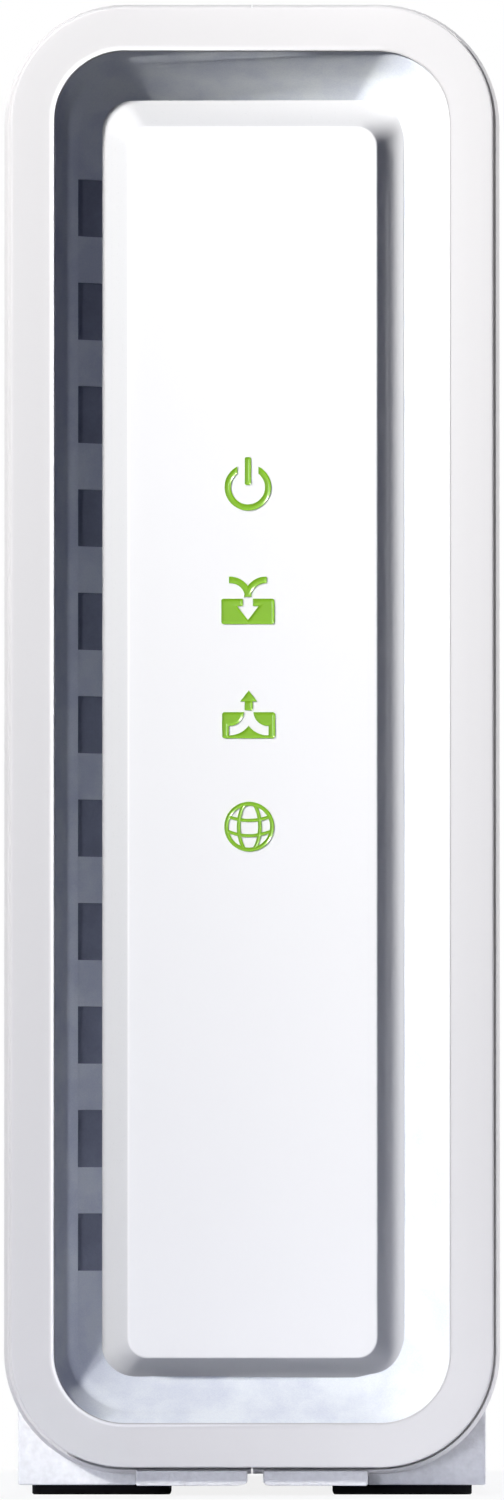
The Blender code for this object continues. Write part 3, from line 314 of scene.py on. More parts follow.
def lit(name, colour, glow, strength, roughness=0.34):
    """Diffusing plastic with a weak light behind it, a little uneven as real ones are."""
    material, shader, place = new_finish(name)
    cloud = place.noise(LIT_CLOUD)
    feed(shader, {
        "Base Color": cloud.mix(rgb(colour, LIT_DARK), rgb(colour, LIT_PALE)),
        "Roughness": roughness + LIT_SHEEN * place.noise(LIT_GRAIN),
        "Emission Color": cloud.mix(rgb(glow, GLOW_DARK), rgb(glow, GLOW_PALE)),
        "Emission Strength": strength,
    })
    return material


def board_lacquer(name, colour):
    """Solder mask over a woven board: the threads run along y and z."""
    material, shader, place = new_finish(name)
    warp = place.stretched(1.0, THREAD_DRAW, 1.0).noise(THREAD_MM)
    weft = place.stretched(1.0, 1.0, THREAD_DRAW).noise(THREAD_MM)
    weave = 0.5 * warp + 0.5 * weft
    feed(shader, {
        "Base Color": weave.mix(rgb(colour, THREAD_DARK), rgb(colour, THREAD_PALE)),
        "Roughness": WEAVE_ROUGH + WEAVE_SHEEN * weave,
        "Normal": weave.bump(WEAVE_DEPTH),
    })
    return material


SIGN = lit("sign green", (0.204, 0.425, 0.02), glow=(0.25, 0.46, 0.03), strength=0.12, roughness=0.16)
LAMP = lit("lamp", (0.9, 0.92, 0.82), glow=(0.35, 0.6, 0.1), strength=0.6)
CLEAR = lit("clear plastic", (0.8, 0.88, 0.84), glow=(0.1, 0.12, 0.1), strength=0.05)
LINK_GREEN = lit("link light, green", (0.55, 0.78, 0.5), glow=(0.2, 0.5, 0.15), strength=0.15)
AMBER = lit("link light, amber", (0.85, 0.68, 0.38), glow=(0.6, 0.35, 0.05), strength=0.15)
BOARD = board_lacquer("board green", (0.03, 0.18, 0.08))

# %% [markdown]
# ## Finishes for the CAD pieces
# Most of what is inside, and flat sheets such as the rear panel, are already right in the CAD model.
# They keep their shape and get a finish through their material slots. The longest key that a name
# starts with says which finish it is.

# %% Finishes by name
FINISH_OF = {
    "front_frame": CASE, "vent_channel": SILVER, "front_panel": PANEL, "left_shell": CASE,
    "right_shell": CASE, "rear_panel": REAR, "pad_": RUBBER, "panel_screw": ZINC, "board_screw": ZINC,
    "main_board": BOARD, "main_chip": CHIP, "memory_chip": CHIP, "flash_chip": CHIP, "thermal_pad": SOFT,
    "heat_sink": ALUMINIUM, "crystal": TIN, "tuner_can": TIN, "input_capacitor": SLEEVE,
    "filter_capacitor": SLEEVE, "power_inductor": CHIP, "ethernet_jack": SOCKET, "ethernet_contacts": GOLD,
    "link_light": LAMP, "coax_body": NICKEL, "coax_insert": INSERT, "coax_washer": NICKEL,
    "coax_nut": NICKEL, "power_jack": SOCKET, "power_jack_pin": NICKEL, "reset_switch_base": SOCKET,
    "reset_switch_cover": TIN, "reset_plunger": SOCKET, "status_light": LAMP, "light_pipe": CLEAR,
    "light_box": INSERT,
}
for node_name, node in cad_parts.items():
    best = max((key for key in FINISH_OF if node_name.startswith(key)), key=len)
    for material_slot in node.material_slots:
        material_slot.material = FINISH_OF[best]
print(len(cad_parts), "CAD pieces have a finish")

# %% [markdown]
# ## From arrays to pieces
# Every new shape below is a grid of points worked out with whole arrays, so the helpers only have to
# number the faces of a grid, close a thin wall at its open edges and hand the arrays to Blender. The last
# helper also turns a mesh the right way out: its signed volume says whether the faces look outward.


# %% Grid helpers
WELD, BEVEL_SEGMENTS = 1e-7, 3


def grid_faces(rows, columns, close_rows=False, close_columns=True):
    """Quads between neighbouring rows and columns of a grid that is numbered row by row."""
    row = np.arange(rows if close_rows else rows - 1)[:, None]
    column = np.arange(columns if close_columns else columns - 1)[None, :]
    here, below, beside = row * columns, (row + 1) % rows * columns, (column + 1) % columns
    corners = (here + column, here + beside, below + beside, below + column)
    return np.stack(np.broadcast_arrays(*corners), axis=-1).reshape(-1, 4)


def points_of(x, y, z):
    """Grids of x, y and z as one list of points."""
    return np.stack(np.broadcast_arrays(x, y, z), axis=-1).reshape(-1, 3)


def thin_wall(front, back, faces):
    """Faces on the front points, the same turned round on the back points, a rim on each open edge."""
    count = len(front)
    edges = np.stack([faces, np.roll(faces, -1, axis=1)], axis=-1).reshape(-1, 2)
    forward, reverse = edges[:, 0] * count + edges[:, 1], edges[:, 1] * count + edges[:, 0]
    rim = edges[~np.isin(forward, reverse)]
    walls = np.column_stack([rim[:, 1], rim[:, 0], rim[:, 0] + count, rim[:, 1] + count])
    return np.vstack([front, back]), np.vstack([faces, faces[:, ::-1] + count, walls])


def add_piece(name, points, faces, finish, slot, caps=(), sharp=35, bevel_mm=0.0):
    """A mesh piece from points in millimetres. It rides on the case; its slot argument is not used."""
    flat = np.concatenate([np.ravel(faces), *[np.ravel(cap) for cap in caps]])
    used = np.unique(flat)
    number = np.zeros(len(points), int)
    number[used] = np.arange(len(used))
    polygons = number[faces].tolist() + [number[cap].tolist() for cap in caps]
    mesh = bpy.data.meshes.new(name)
    mesh.from_pydata((points[used] * MM).tolist(), [], polygons)
    shape = bmesh.new()
    shape.from_mesh(mesh)
    bmesh.ops.remove_doubles(shape, verts=shape.verts[:], dist=WELD)
    if shape.calc_volume(signed=True) < 0:
        bmesh.ops.reverse_faces(shape, faces=shape.faces[:])
    shape.to_mesh(mesh)
    shape.free()
    mesh.shade_smooth()
    mesh.set_sharp_from_angle(angle=np.radians(sharp))
    mesh.materials.append(finish)
    piece = bpy.data.objects.new(name, mesh)
    bpy.context.scene.collection.objects.link(piece)
    if bevel_mm:
        bevel = piece.modifiers.new("edges", "BEVEL")
        bevel.width, bevel.segments, bevel.limit_method = bevel_mm * MM, BEVEL_SEGMENTS, "ANGLE"
        bevel.harden_normals = True
    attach(piece, "case")
    print(name, len(mesh.polygons), "faces")
    return piece


# %% [markdown]
# ## Rounded rectangles
# The front is a family of rounded rectangles, one inside the other: ring, channel, panel. One helper
# makes rows of them from half sizes and corner radii, and another rounds the corners of a section line,
# so that a moulding is only a section that runs round such a loop.


# %% Loops and sections
SAME_POINT = 1e-6


def arcs(half_width, half_height, radius, steps):
    """The four quarter circles of each row: centre + r (cos a, sin a), anticlockwise from the right."""
    sizes = np.broadcast_arrays(*map(np.atleast_1d, (half_width, half_height, radius)))
    w, h, r = (size[:, None] for size in sizes)
    turn = np.linspace(0, np.pi / 2, steps + 1)[None, :]
    signs = ((1, 1), (-1, 1), (-1, -1), (1, -1))
    return [
        (sx * (w - r) + r * np.cos(turn + k * np.pi / 2), sz * (h - r) + r * np.sin(turn + k * np.pi / 2))
        for k, (sx, sz) in enumerate(signs)
    ]


def joined(stretches):
    """Stretches (x, z) of the same rows, one after the other along the columns."""
    return tuple(np.hstack(part) for part in zip(*stretches))


def rounded_loops(half_width, half_height, radius, steps, heights=()):
    """Rows of closed loops (x, z) about the ring's middle, with extra points at heights on the left."""
    quarters = arcs(half_width, half_height, radius, steps)
    level = np.sort(np.asarray(heights, float) - MIDDLE)[::-1]
    left_z = np.broadcast_to(level, (len(quarters[0][0]), len(level)))
    left_x = np.broadcast_to(-np.atleast_1d(half_width)[:, None], left_z.shape)
    x, z = joined([*quarters[:2], (left_x, left_z), *quarters[2:]])
    return x, z + MIDDLE


def softened(corners, reach, steps=4, closed=False):
    """Corners of a section, each rounded by (1-t)^2 A + 2t(1-t) P + t^2 B, A and B `reach` away from P."""
    corners = np.asarray(corners, float)
    reach = np.broadcast_to(np.asarray(reach, float), len(corners))[:, None]
    before, after = np.roll(corners, 1, axis=0) - corners, np.roll(corners, -1, axis=0) - corners
    start = corners + reach * before / np.linalg.norm(before, axis=1, keepdims=True)
    end = corners + reach * after / np.linalg.norm(after, axis=1, keepdims=True)
    if not closed:
        start[0], end[-1] = corners[0], corners[-1]
        end[0], start[-1] = corners[0], corners[-1]
    t = np.linspace(0, 1, steps + 1)[None, :, None]
    line = (1 - t) ** 2 * start[:, None] + 2 * t * (1 - t) * corners[:, None] + t**2 * end[:, None]
    line = line.reshape(-1, 2)
    keep = np.append(True, np.linalg.norm(np.diff(line, axis=0), axis=1) > SAME_POINT)
    return line[keep]


# %% [markdown]
# ## The ring
# A flat white ring, about four millimetres wide, with a soft outer edge. On the left half its inner edge
# carries a thin bead that catches the light, and its crest is painted a brighter white, a painted highlight;
# together they show as a fine white line. Towards the right the bead runs out into the flat face. The
# section is drawn as (distance in from the outer edge, depth behind the front) and run round the loop.

# %% Ring
RING_HALF, RING_RADIUS, RING_STEPS = (21.7, 65.15), 10.4, 20
RING_EDGE, RING_WIDTH, RING_BACK, RING_FACE = 0.25, 4.2, 3.2, 0.18
BEAD_START, BEAD_CREST, BEAD_END, BEAD_FALL, BEAD_FADE = 3.7, 4.0, 4.1, 0.3, 12.0
ring_section = softened(
    [
        (RING_EDGE, RING_BACK), (RING_EDGE, RING_FACE), (BEAD_START, RING_FACE), (BEAD_CREST, 0.0),
        (BEAD_END, 0.0), (RING_WIDTH, BEAD_FALL), (RING_WIDTH, RING_BACK),
    ],
    reach=[0.1, 0.22, 0.12, 0.08, 0.05, 0.1, 0.1], closed=True,
)
ring_inset, ring_depth = ring_section.T
ring_x, ring_z = rounded_loops(
    RING_HALF[0] - ring_inset, RING_HALF[1] - ring_inset, RING_RADIUS - ring_inset, RING_STEPS
)
bead = np.clip(-ring_x / BEAD_FADE, 0, 1)
ring_y = FRONT + np.maximum(ring_depth[:, None], RING_FACE * (1 - bead))
ring = add_piece(
    "ring", points_of(ring_x, ring_y, ring_z),
    grid_faces(*ring_x.shape, close_rows=True), RING, "case_white", sharp=50,
)
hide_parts("front_frame")

# %% [markdown]
# ## The channel with its air slots
# The channel falls from the ring to the foot of the panel. On the left, where air goes in, it is deep: a
# steep lip, a narrow ledge, a slope with the slots and a floor. That section comes first, with a second
# one behind it for the back of the sheet. Both have a point where the slots begin and one where they end.

# %% Channel section
LIP, LIP_START, LIP_FOOT = 0.5, 0.02, (1.1, 3.85)
LEDGE, SLOPE_END, FLOOR_END = np.array((1.85, 4.25)), np.array((4.25, 6.4)), 6.2
SLOT_INSETS = (2.0, 4.45)
SHEET_AT, SHEET_THICKNESS = (0.0, 1.1, 1.6), (0.1, 0.35, 0.45)


def on_slope(inset):
    """Depth at an inset: a straight line from the ledge down to the floor, then the floor."""
    run, fall = SLOPE_END - LEDGE
    return np.minimum(LEDGE[1] + (np.asarray(inset) - LEDGE[0]) * fall / run, SLOPE_END[1])


channel_section = softened(
    [(LIP_START, LIP), LIP_FOOT, LEDGE, SLOPE_END, (FLOOR_END, SLOPE_END[1])],
    reach=[0, 0.45, 0.4, 0.3, 0], steps=6,
)
slot_rows = np.column_stack([SLOT_INSETS, on_slope(SLOT_INSETS)])
channel_section = np.vstack([channel_section, slot_rows])
channel_section = channel_section[np.argsort(channel_section[:, 0])]
slope = np.gradient(channel_section, axis=0)
inward = np.column_stack([slope[:, 1], -slope[:, 0]]) / np.linalg.norm(slope, axis=1, keepdims=True)
thickness = np.interp(channel_section[:, 0], SHEET_AT, SHEET_THICKNESS)
channel_back = channel_section - thickness[:, None] * inward
print("channel section of", len(channel_section), "points")

# %% [markdown]
# Along the top the channel is one steep slope, along the right and the bottom a shallow one, so the depth
# is a blend of these slopes with the section. The blends are soft steps across the opening, because a hard
# change would show as a crease. The loops have extra points at the heights where a slot begins or ends.

# %% Channel slopes
OPENING_HALF, OPENING_RADIUS = (17.5, 60.95), 6.2
FOOT_RADIUS, FLOOR_INSET, LOOP_STEPS = 4.6, 4.0, 14
TOP_SLOPES, TOP_SPAN, TOP_BLEND = (1.7, 1.49), (-4.5, 4.5), 6.0
RIGHT_SLOPE, BOTTOM_SLOPE, CHANNEL_BLEND = 0.68, 0.94, (9.0, 12.0)
BOTTOM_LEAD, BOTTOM_RUN = 4.0, 13.0
SLOT_COUNT, SLOT_PITCH, SLOT_HEIGHT, SLOT_MIDDLE = 11, 9.22, 5.1, 68.65


def both_edges(middles, width):
    """Where openings of one width begin and end: half the width to either side of their middles."""
    return np.concatenate([middles - width / 2, middles + width / 2])


slot_levels = SLOT_MIDDLE + SLOT_PITCH * (np.arange(SLOT_COUNT) - (SLOT_COUNT - 1) / 2)
slot_edges = both_edges(slot_levels, SLOT_HEIGHT)


def smooth(share):
    """A soft step: 3 t^2 - 2 t^3, with t the share held between 0 and 1."""
    t = np.clip(share, 0, 1)
    return t**2 * (3 - 2 * t)


def shallow_sides(x, z, half, blend):
    """How far a point belongs to the right edge and to the bottom edge: two shares, smooth over `blend`."""
    right, bottom, run = smooth(np.stack([
        1 + (x - half[0]) / blend[0], 1 + (MIDDLE - half[1] - z) / blend[1],
        (x + half[0] + BOTTOM_LEAD) / BOTTOM_RUN,
    ]))
    return right, (1 - right) * bottom * run


def channel_grid(section):
    """A section (inset, depth) run round the ring's opening, with slopes at top, right and bottom."""
    inset, depth = section.T
    radius = np.interp(inset, [0.0, FLOOR_INSET], [OPENING_RADIUS, FOOT_RADIUS])
    half_width, half_height = OPENING_HALF[0] - inset, OPENING_HALF[1] - inset
    x, z = rounded_loops(half_width, half_height, radius, LOOP_STEPS, slot_edges)
    steep = smooth((z[0] - MIDDLE - OPENING_HALF[1]) / TOP_BLEND + 1)
    right, bottom = shallow_sides(x[0], z[0], OPENING_HALF, CHANNEL_BLEND)
    top_slope = np.interp(x[0], TOP_SPAN, TOP_SLOPES)
    lip = (LIP + depth - np.interp(inset, *channel_section.T))[:, None]
    depth, inset = depth[:, None], inset[:, None]
    depth = (1 - steep) * depth + steep * (lip + top_slope * inset)
    shallow = right * (lip + RIGHT_SLOPE * inset) + bottom * (lip + BOTTOM_SLOPE * inset)
    return x, FRONT + (1 - right - bottom) * depth + shallow, z


front_x, front_y, front_z = channel_grid(channel_section)
print("channel grid", front_x.shape, "with", len(slot_levels), "slots")

# %% [markdown]
# The slots are real holes: the grid leaves out the cells whose middle lies in a slot, and the thin wall
# helper closes each rim with the sheet's thickness.

# %% Channel
SLOT_SIDE, HAIR = -10.0, 0.01


def between(line):
    """Halfway from each value to the next."""
    return (line[:-1] + line[1:]) / 2


def within(places, middles, width):
    """True where a place is nearer to one of the middles than half the width."""
    return np.abs(places[..., None] - middles).min(axis=-1) < width / 2 - HAIR


cell_inset = between(channel_section[:, 0])[:, None]
cell_x, cell_z = (between(np.append(line[0], line[0, :1])) for line in (front_x, front_z))
is_hole = (
    within(cell_z, slot_levels, SLOT_HEIGHT) & (cell_x < SLOT_SIDE)
    & (cell_inset > SLOT_INSETS[0]) & (cell_inset < SLOT_INSETS[1])
)
channel = add_piece(
    "channel",
    *thin_wall(
        points_of(front_x, front_y, front_z), points_of(*channel_grid(channel_back)),
        grid_faces(*front_x.shape)[~is_hole.ravel()],
    ),
    SILVER, "channel_silver",
)
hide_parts("vent_channel")

# %% [markdown]
# Behind the slots a dim grey is seen, not the inside of the case. It is a dark strip a millimetre behind
# the slope, over the whole height of the slots; its dark colour is painted shade, the shade seen
# through the slots.

# %% Dark strip behind the slots, painted shade
SCREEN_GAP, SCREEN_SHEET, SCREEN_MARGIN = 1.1, 0.2, 2.0
SCREEN_ABOVE, SCREEN_BELOW, SCREEN_GRID = 0.8, 0.9, (6, 24)
screen_ends = SLOT_INSETS[0] - SCREEN_ABOVE, SLOT_INSETS[1] + SCREEN_BELOW
screen_inset = np.linspace(*screen_ends, SCREEN_GRID[0])[:, None]
screen_z = np.linspace(slot_edges.min() - SCREEN_MARGIN, slot_edges.max() + SCREEN_MARGIN, SCREEN_GRID[1])
screen_x = screen_inset - OPENING_HALF[0]
screen_y = FRONT + on_slope(screen_inset) + SCREEN_GAP
add_piece(
    "slot_screen",
    *thin_wall(
        points_of(screen_x, screen_y, screen_z), points_of(screen_x, screen_y + SCREEN_SHEET, screen_z),
        grid_faces(*SCREEN_GRID, close_columns=False),
    ),
    SCREEN, "channel_silver",
)

# %% [markdown]
# ## The panel
# The panel stands up from the channel like a low loaf: sloping flanks, a soft shoulder and a flat face.
# The face sits a little lower than the foot, so the flank is wider at the top than at the bottom. Where
# the channel is shallow the flanks are lower too, and hollow, so that the shade beside the face fades out
# slowly. The panel is a cap: its section starts inside, comes round the foot and goes up to the face.

# %% Panel
FOOT_HALF = (13.475, 56.98)
FACE_INSET, FACE_DEPTH, FOOT_DEPTH, PANEL_WALL, END_SHARE = 2.415, 1.0, 5.7, 1.5, 0.93
FACE_DROP, FOOT_SHIFT, FACE_SHIFT, FACE_BORDER = 0.45, 0.075, 0.06, 1.2
FLANK_POINTS, WALL_SOFT, FOOT_SOFT, SHOULDER_SOFT = 8, 0.1, 0.12, 0.14
FLANK_RISE, FLANK_HOLLOW, BOTTOM_SHARE, PANEL_BLEND = 0.55, 1.0, 0.6, (4.0, 4.0)
PANEL_RADIUS_AT, PANEL_RADIUS = (0, FACE_INSET, 3.6), (2.7, 1.8, 0.9)


def end_caps(rows, columns):
    """The first and the last row of a grid as two faces, both looking away from it."""
    return [np.arange(columns)[::-1], np.arange(columns) + (rows - 1) * columns]


flank = np.linspace((0.0, FOOT_DEPTH), (FACE_INSET, FACE_DEPTH), FLANK_POINTS)
panel_section = softened(
    [
        (FACE_INSET + PANEL_WALL, FACE_DEPTH + PANEL_WALL), (PANEL_WALL, FOOT_DEPTH), *flank,
        (FACE_INSET + FACE_BORDER, FACE_DEPTH),
    ],
    reach=[0, WALL_SOFT, FOOT_SOFT, *[0] * (FLANK_POINTS - 2), SHOULDER_SOFT, 0], steps=6,
)
panel_inset, panel_depth = panel_section.T
rise = np.clip((FOOT_DEPTH - panel_depth) / (FOOT_DEPTH - FACE_DEPTH), 0, 1)
panel_x, panel_z = rounded_loops(
    FOOT_HALF[0] - panel_inset, FOOT_HALF[1] - END_SHARE * panel_inset,
    np.interp(panel_inset, PANEL_RADIUS_AT, PANEL_RADIUS), LOOP_STEPS,
)
panel_x = panel_x + (FOOT_SHIFT + (FACE_SHIFT - FOOT_SHIFT) * rise)[:, None]
panel_z = panel_z - (FACE_DROP * rise)[:, None]
foot = np.argmin(panel_inset)
right, bottom = shallow_sides(panel_x[foot] - FOOT_SHIFT, panel_z[foot], FOOT_HALF, PANEL_BLEND)
shallow = right + BOTTOM_SHARE * bottom
hollow = 1 + FLANK_HOLLOW * np.outer(rise, shallow)
panel_y = FRONT + FACE_DEPTH + (panel_depth[:, None] - FACE_DEPTH) * hollow * (1 - FLANK_RISE * shallow)
panel = add_piece(
    "panel", points_of(panel_x, panel_y, panel_z), grid_faces(*panel_x.shape),
    PANEL, "panel_white", caps=end_caps(*panel_x.shape),
)
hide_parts("front_panel")

# %% [markdown]
# ## The four signs
# Power, receive, send and online: general signs that many makers use. Each is drawn by distance: a
# formula says how far a point is from the sign's edge, less than zero inside. Bands, boxes and arrow heads
# are short formulas, `minimum` joins two of them and `maximum` with a minus cuts one out of the other.


# %% Distances
def band(x, z, inner, outer):
    """A ring between two radii: how far the radius is from the middle of the band, less half its width."""
    return np.abs(np.hypot(x, z) - (inner + outer) / 2) - (outer - inner) / 2


def box(x, z, half, low, high, radius=0.0):
    """A rectangle about x = 0: the further of its two pairs of sides, or the round of its corner."""
    dx = np.abs(x) - half + radius
    dz = np.abs(z - (low + high) / 2) - (high - low) / 2 + radius
    return np.hypot(np.maximum(dx, 0), np.maximum(dz, 0)) + np.minimum(np.maximum(dx, dz), 0) - radius


def head(x, z, half, base, tip):
    """An arrow head about x = 0: the further of its slanted side and its base."""
    length, way = abs(tip - base), np.sign(tip - base)
    side = (np.abs(x) * length + (z - base) * way * half - half * length) / np.hypot(half, length)
    return np.maximum(side, (base - z) * way)


# %% [markdown]
# With these three forms each sign is a few lines. The signs are drawn in pixels of the photograph, about
# the middle of each, because that is where they were measured.


# %% Sign forms
FAR = 60.0


def power_sign(x, z):
    """An open ring with a bar in the gap."""
    inner, outer, gap_half = 17.1, 23.3, 10.6
    bar_half, bar_low, bar_high, bar_round = 3.1, 2.3, 30.2, 1.6
    open_ring = np.maximum(band(x, z, inner, outer), -box(x, z, gap_half, 0, FAR))
    return np.minimum(open_ring, box(x, z, bar_half, bar_low, bar_high, bar_round))


def receive_sign(x, z):
    """Two arms that join to a trunk, over a box with an arrow down into it."""
    bend_x, bend_z, inner, outer = 17.8, -1.0, 15.0, 21.6
    arm_half, arm_low, arm_high = 18.9, 0.3, 30.0
    box_half, box_low, box_high, box_round = 26.6, -27.0, -1.5, 2.3
    shaft_half, shaft_low, shaft_high = 5.0, -10.0, 10.0
    head_half, head_base, head_tip = 10.8, -8.9, -22.9
    arms = np.minimum(*(band(x + side * bend_x, z - bend_z, inner, outer) for side in (1, -1)))
    arms = np.maximum(arms, box(x, z, arm_half, arm_low, arm_high))
    shaft = box(x, z, shaft_half, shaft_low, shaft_high)
    arrow = np.minimum(shaft, head(x, z, head_half, head_base, head_tip))
    return np.minimum(arms, np.maximum(box(x, z, box_half, box_low, box_high, box_round), -arrow))


def send_sign(x, z):
    """An arrow up out of a box, with two branches cut into the box below it."""
    head_half, head_base, head_tip = 8.6, 23.0, 34.2
    shaft_half, shaft_low, shaft_high = 4.0, 14.2, 24.0
    bend_x, bend_z, inner, outer = 19.2, 13.0, 14.4, 23.8
    branch_half, branch_low, branch_high = 9.95, -10.8, 40.0
    box_half, box_low, box_high, box_round = 26.6, -13.8, 12.4, 2.6
    shaft = box(x, z, shaft_half, shaft_low, shaft_high)
    arrow = np.minimum(shaft, head(x, z, head_half, head_base, head_tip))
    branches = np.minimum(*(band(x + side * bend_x, z - bend_z, inner, outer) for side in (1, -1)))
    branches = np.maximum(branches, box(np.abs(x) - branch_half, z, branch_half, branch_low, branch_high))
    return np.minimum(arrow, np.maximum(box(x, z, box_half, box_low, box_high, box_round), -branches))


def online_sign(x, z):
    """A globe: a ring, two meridians and two sagging parallels."""
    inner, outer, inside, line_half, sag_reach = 20.9, 24.9, 22.5, 1.6, 21.0
    meridian_x, meridian_half, meridian_reach, meridian_least = 10.6, 1.8, 24.5, 0.05
    bulge = np.sqrt(np.clip(1 - (z / meridian_reach) ** 2, meridian_least, 1))
    lines = np.abs(np.abs(x) - meridian_x * bulge) - meridian_half
    for level, sag in ((6.3, 3.9), (-9.0, 4.4)):
        lines = np.minimum(lines, np.abs(z - level - sag * (x / sag_reach) ** 2) - line_half)
    return np.minimum(np.maximum(lines, np.hypot(x, z) - inside), band(x, z, inner, outer))


# %% [markdown]
# A sign becomes a thin plate: a fine grid is laid over it, the cells inside are kept, and the points on
# the ragged border are pushed along the slope of the distance until they lie on the edge. The plates are
# dished, a little higher at the edge than in the middle, so that the lower right edges catch the lamp as
# they do in the photograph.

# %% Sign plates
PIXEL = 1 / 11.26
PLATE_PROUD, PLATE_DISH, PLATE_DEPTH = 0.02, 0.08, 0.5
DISH_PIXELS, DISH_POWER = 2.6, 1.5
SIGN_CELLS, SIGN_REACH = 110, 36.0
PUSHES, PUSH_LIMIT, PROBE, LEAST_SLOPE = 3, 0.6, 0.05, 0.3
SIGNS = (
    ("sign_power", power_sign, -0.37, 89.65), ("sign_receive", receive_sign, -0.37, 79.87),
    ("sign_send", send_sign, -0.3, 68.54), ("sign_online", online_sign, -0.255, 59.46),
)


def sign_plate(name, distance, centre_x, centre_z):
    """Cells of a grid where the distance is below zero, with the border drawn to the edge."""
    line = np.linspace(-SIGN_REACH, SIGN_REACH, SIGN_CELLS + 1)
    x, z = np.meshgrid(line, line)
    inside = distance(*np.meshgrid(between(line), between(line))) < 0
    faces = grid_faces(SIGN_CELLS + 1, SIGN_CELLS + 1, close_columns=False)[inside.ravel()]
    kept_around = np.bincount(faces.ravel(), minlength=x.size).reshape(x.shape)
    border = (kept_around > 0) & (kept_around < 4)
    for _ in range(PUSHES):
        slope_x = (distance(x + PROBE, z) - distance(x - PROBE, z)) / (2 * PROBE)
        slope_z = (distance(x, z + PROBE) - distance(x, z - PROBE)) / (2 * PROBE)
        push = np.where(border, np.clip(distance(x, z), -PUSH_LIMIT, PUSH_LIMIT), 0)
        push = push / np.maximum(slope_x**2 + slope_z**2, LEAST_SLOPE)
        x, z = x - push * slope_x, z - push * slope_z
    across, level = centre_x + x * PIXEL, centre_z + z * PIXEL
    dish = PLATE_DISH * np.clip(1 + distance(x, z) / DISH_PIXELS, 0, 1) ** DISH_POWER
    front = points_of(across, FRONT + FACE_DEPTH - PLATE_PROUD - dish, level)
    back = points_of(across, FRONT + FACE_DEPTH + PLATE_DEPTH, level)
    return add_piece(name, *thin_wall(front, back, faces), SIGN, "sign_green")


for sign in SIGNS:
    sign_plate(*sign)

# %% [markdown]
# ## The two halves of the case
# Behind the ring the case is two shells that meet in the middle of the top and the bottom. Each is a skin
# two millimetres thick: rows along the depth, columns round the half outline. The first rows taper in
# towards the ring, and the last ones curl in, which rounds the rim at the back.

# %% Shell outline
BODY_HALF, BODY_RADIUS, BODY_STEPS = (22.1, 65.55), 10.8, 16
SHELL_FRONT, SHELL_BACK, SHELL_WALL, SEAM_GAP = -62.15, 57.85, 2.0, 0.06
TAPER, TAPER_LENGTH, TAPER_ROWS, RIM_ROUND, RIM_ROWS = 0.36, 3.0, 8, 0.6, 6
VENT_COUNT, VENT_PITCH, VENT_FIRST, VENT_WIDTH = 10, 5.2, -15.05, 2.2
VENT_LENGTH, VENT_LEVELS = 12.0, np.array((20.7, 114.2))
vent_heights = both_edges(VENT_LEVELS, VENT_LENGTH)
vent_y = VENT_FIRST + VENT_PITCH * np.arange(VENT_COUNT)


def half_outline(inset):
    """Left half of the body's outline at each inset, from the seam at the top round to the bottom one."""
    width, height = BODY_HALF[0] - inset, BODY_HALF[1] - inset
    _, top, bottom, _ = arcs(width, height, BODY_RADIUS - inset, BODY_STEPS)
    level = np.sort(vent_heights - MIDDLE)[::-1]
    side_z = np.broadcast_to(level, (len(inset), len(level)))
    side_x = np.broadcast_to(-width[:, None], side_z.shape)
    seam = np.full((len(inset), 1), -SEAM_GAP)
    x, z = joined([(seam, height[:, None]), top, (side_x, side_z), bottom, (seam, -height[:, None])])
    return np.stack([x, z + MIDDLE])


curl = np.linspace(0, np.pi / 2, RIM_ROWS)
curl_y, curl_inset = RIM_ROUND * (1 - np.sin(curl)), RIM_ROUND * (1 - np.cos(curl))
vent_edges = np.sort(both_edges(vent_y, VENT_WIDTH))
along = np.linspace(0, 1, TAPER_ROWS)
shell_y = np.concatenate([SHELL_FRONT + TAPER_LENGTH * along, vent_edges, SHELL_BACK - curl_y])
shell_inset = np.concatenate([TAPER * (1 - along) ** 2, np.zeros(len(vent_edges)), curl_inset])
outer_x, outer_z = half_outline(shell_inset)
print("shell grid", outer_x.shape)

# %% [markdown]
# The vents are cells left out, as in the channel. At the right and along the bottom a dark gap is seen
# round the ring. There the shell's front rim is thinned to a lip, and the gap lies between lip and ring;
# on the left, where the lamp looks in, the wall keeps its thickness up to the rim.

# %% Shells
LIP_INSET, LIP_DEPTH, GROOVE_LEVEL, GROOVE_FADE, SIDE_HAIR = 0.42, 2.6, 6.0, 2.5, 0.1
groove_inset = np.interp(shell_y, [SHELL_FRONT, SHELL_FRONT + LIP_DEPTH], [LIP_INSET, SHELL_WALL])
plain, grooved = half_outline(np.full(len(shell_y), SHELL_WALL)), half_outline(groove_inset)
at_bottom = np.clip((GROOVE_LEVEL - outer_z[0]) / GROOVE_FADE, 0, 1)
cell_x, cell_z = between(outer_x[TAPER_ROWS]), between(outer_z[TAPER_ROWS])
is_vent = (
    within(between(shell_y)[:, None], vent_y, VENT_WIDTH) & within(cell_z, VENT_LEVELS, VENT_LENGTH)
    & (cell_x < -BODY_HALF[0] + SIDE_HAIR)
)
shell_faces = grid_faces(*outer_x.shape, close_columns=False)[~is_vent.ravel()]
for side, mirror, groove in (("left", 1, at_bottom), ("right", -1, 1.0)):
    inner_x, inner_z = plain + groove * (grooved - plain)
    shell = add_piece(
        side + "_case",
        *thin_wall(
            points_of(mirror * outer_x, shell_y[:, None], outer_z),
            points_of(mirror * inner_x, shell_y[:, None], inner_z), shell_faces,
        ),
        CASE, "case_white",
    )
    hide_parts(side + "_shell")

# %% [markdown]
# ## The base
# The case stands in a low base that is part of the two shells: a solid cheek under each rounded corner, a
# thinner web between the cheeks and a notch a little right of the middle, with its lower corners eased.
# Each is a prism: an outline in the front view, drawn along the depth. A Bevel modifier breaks its edges.

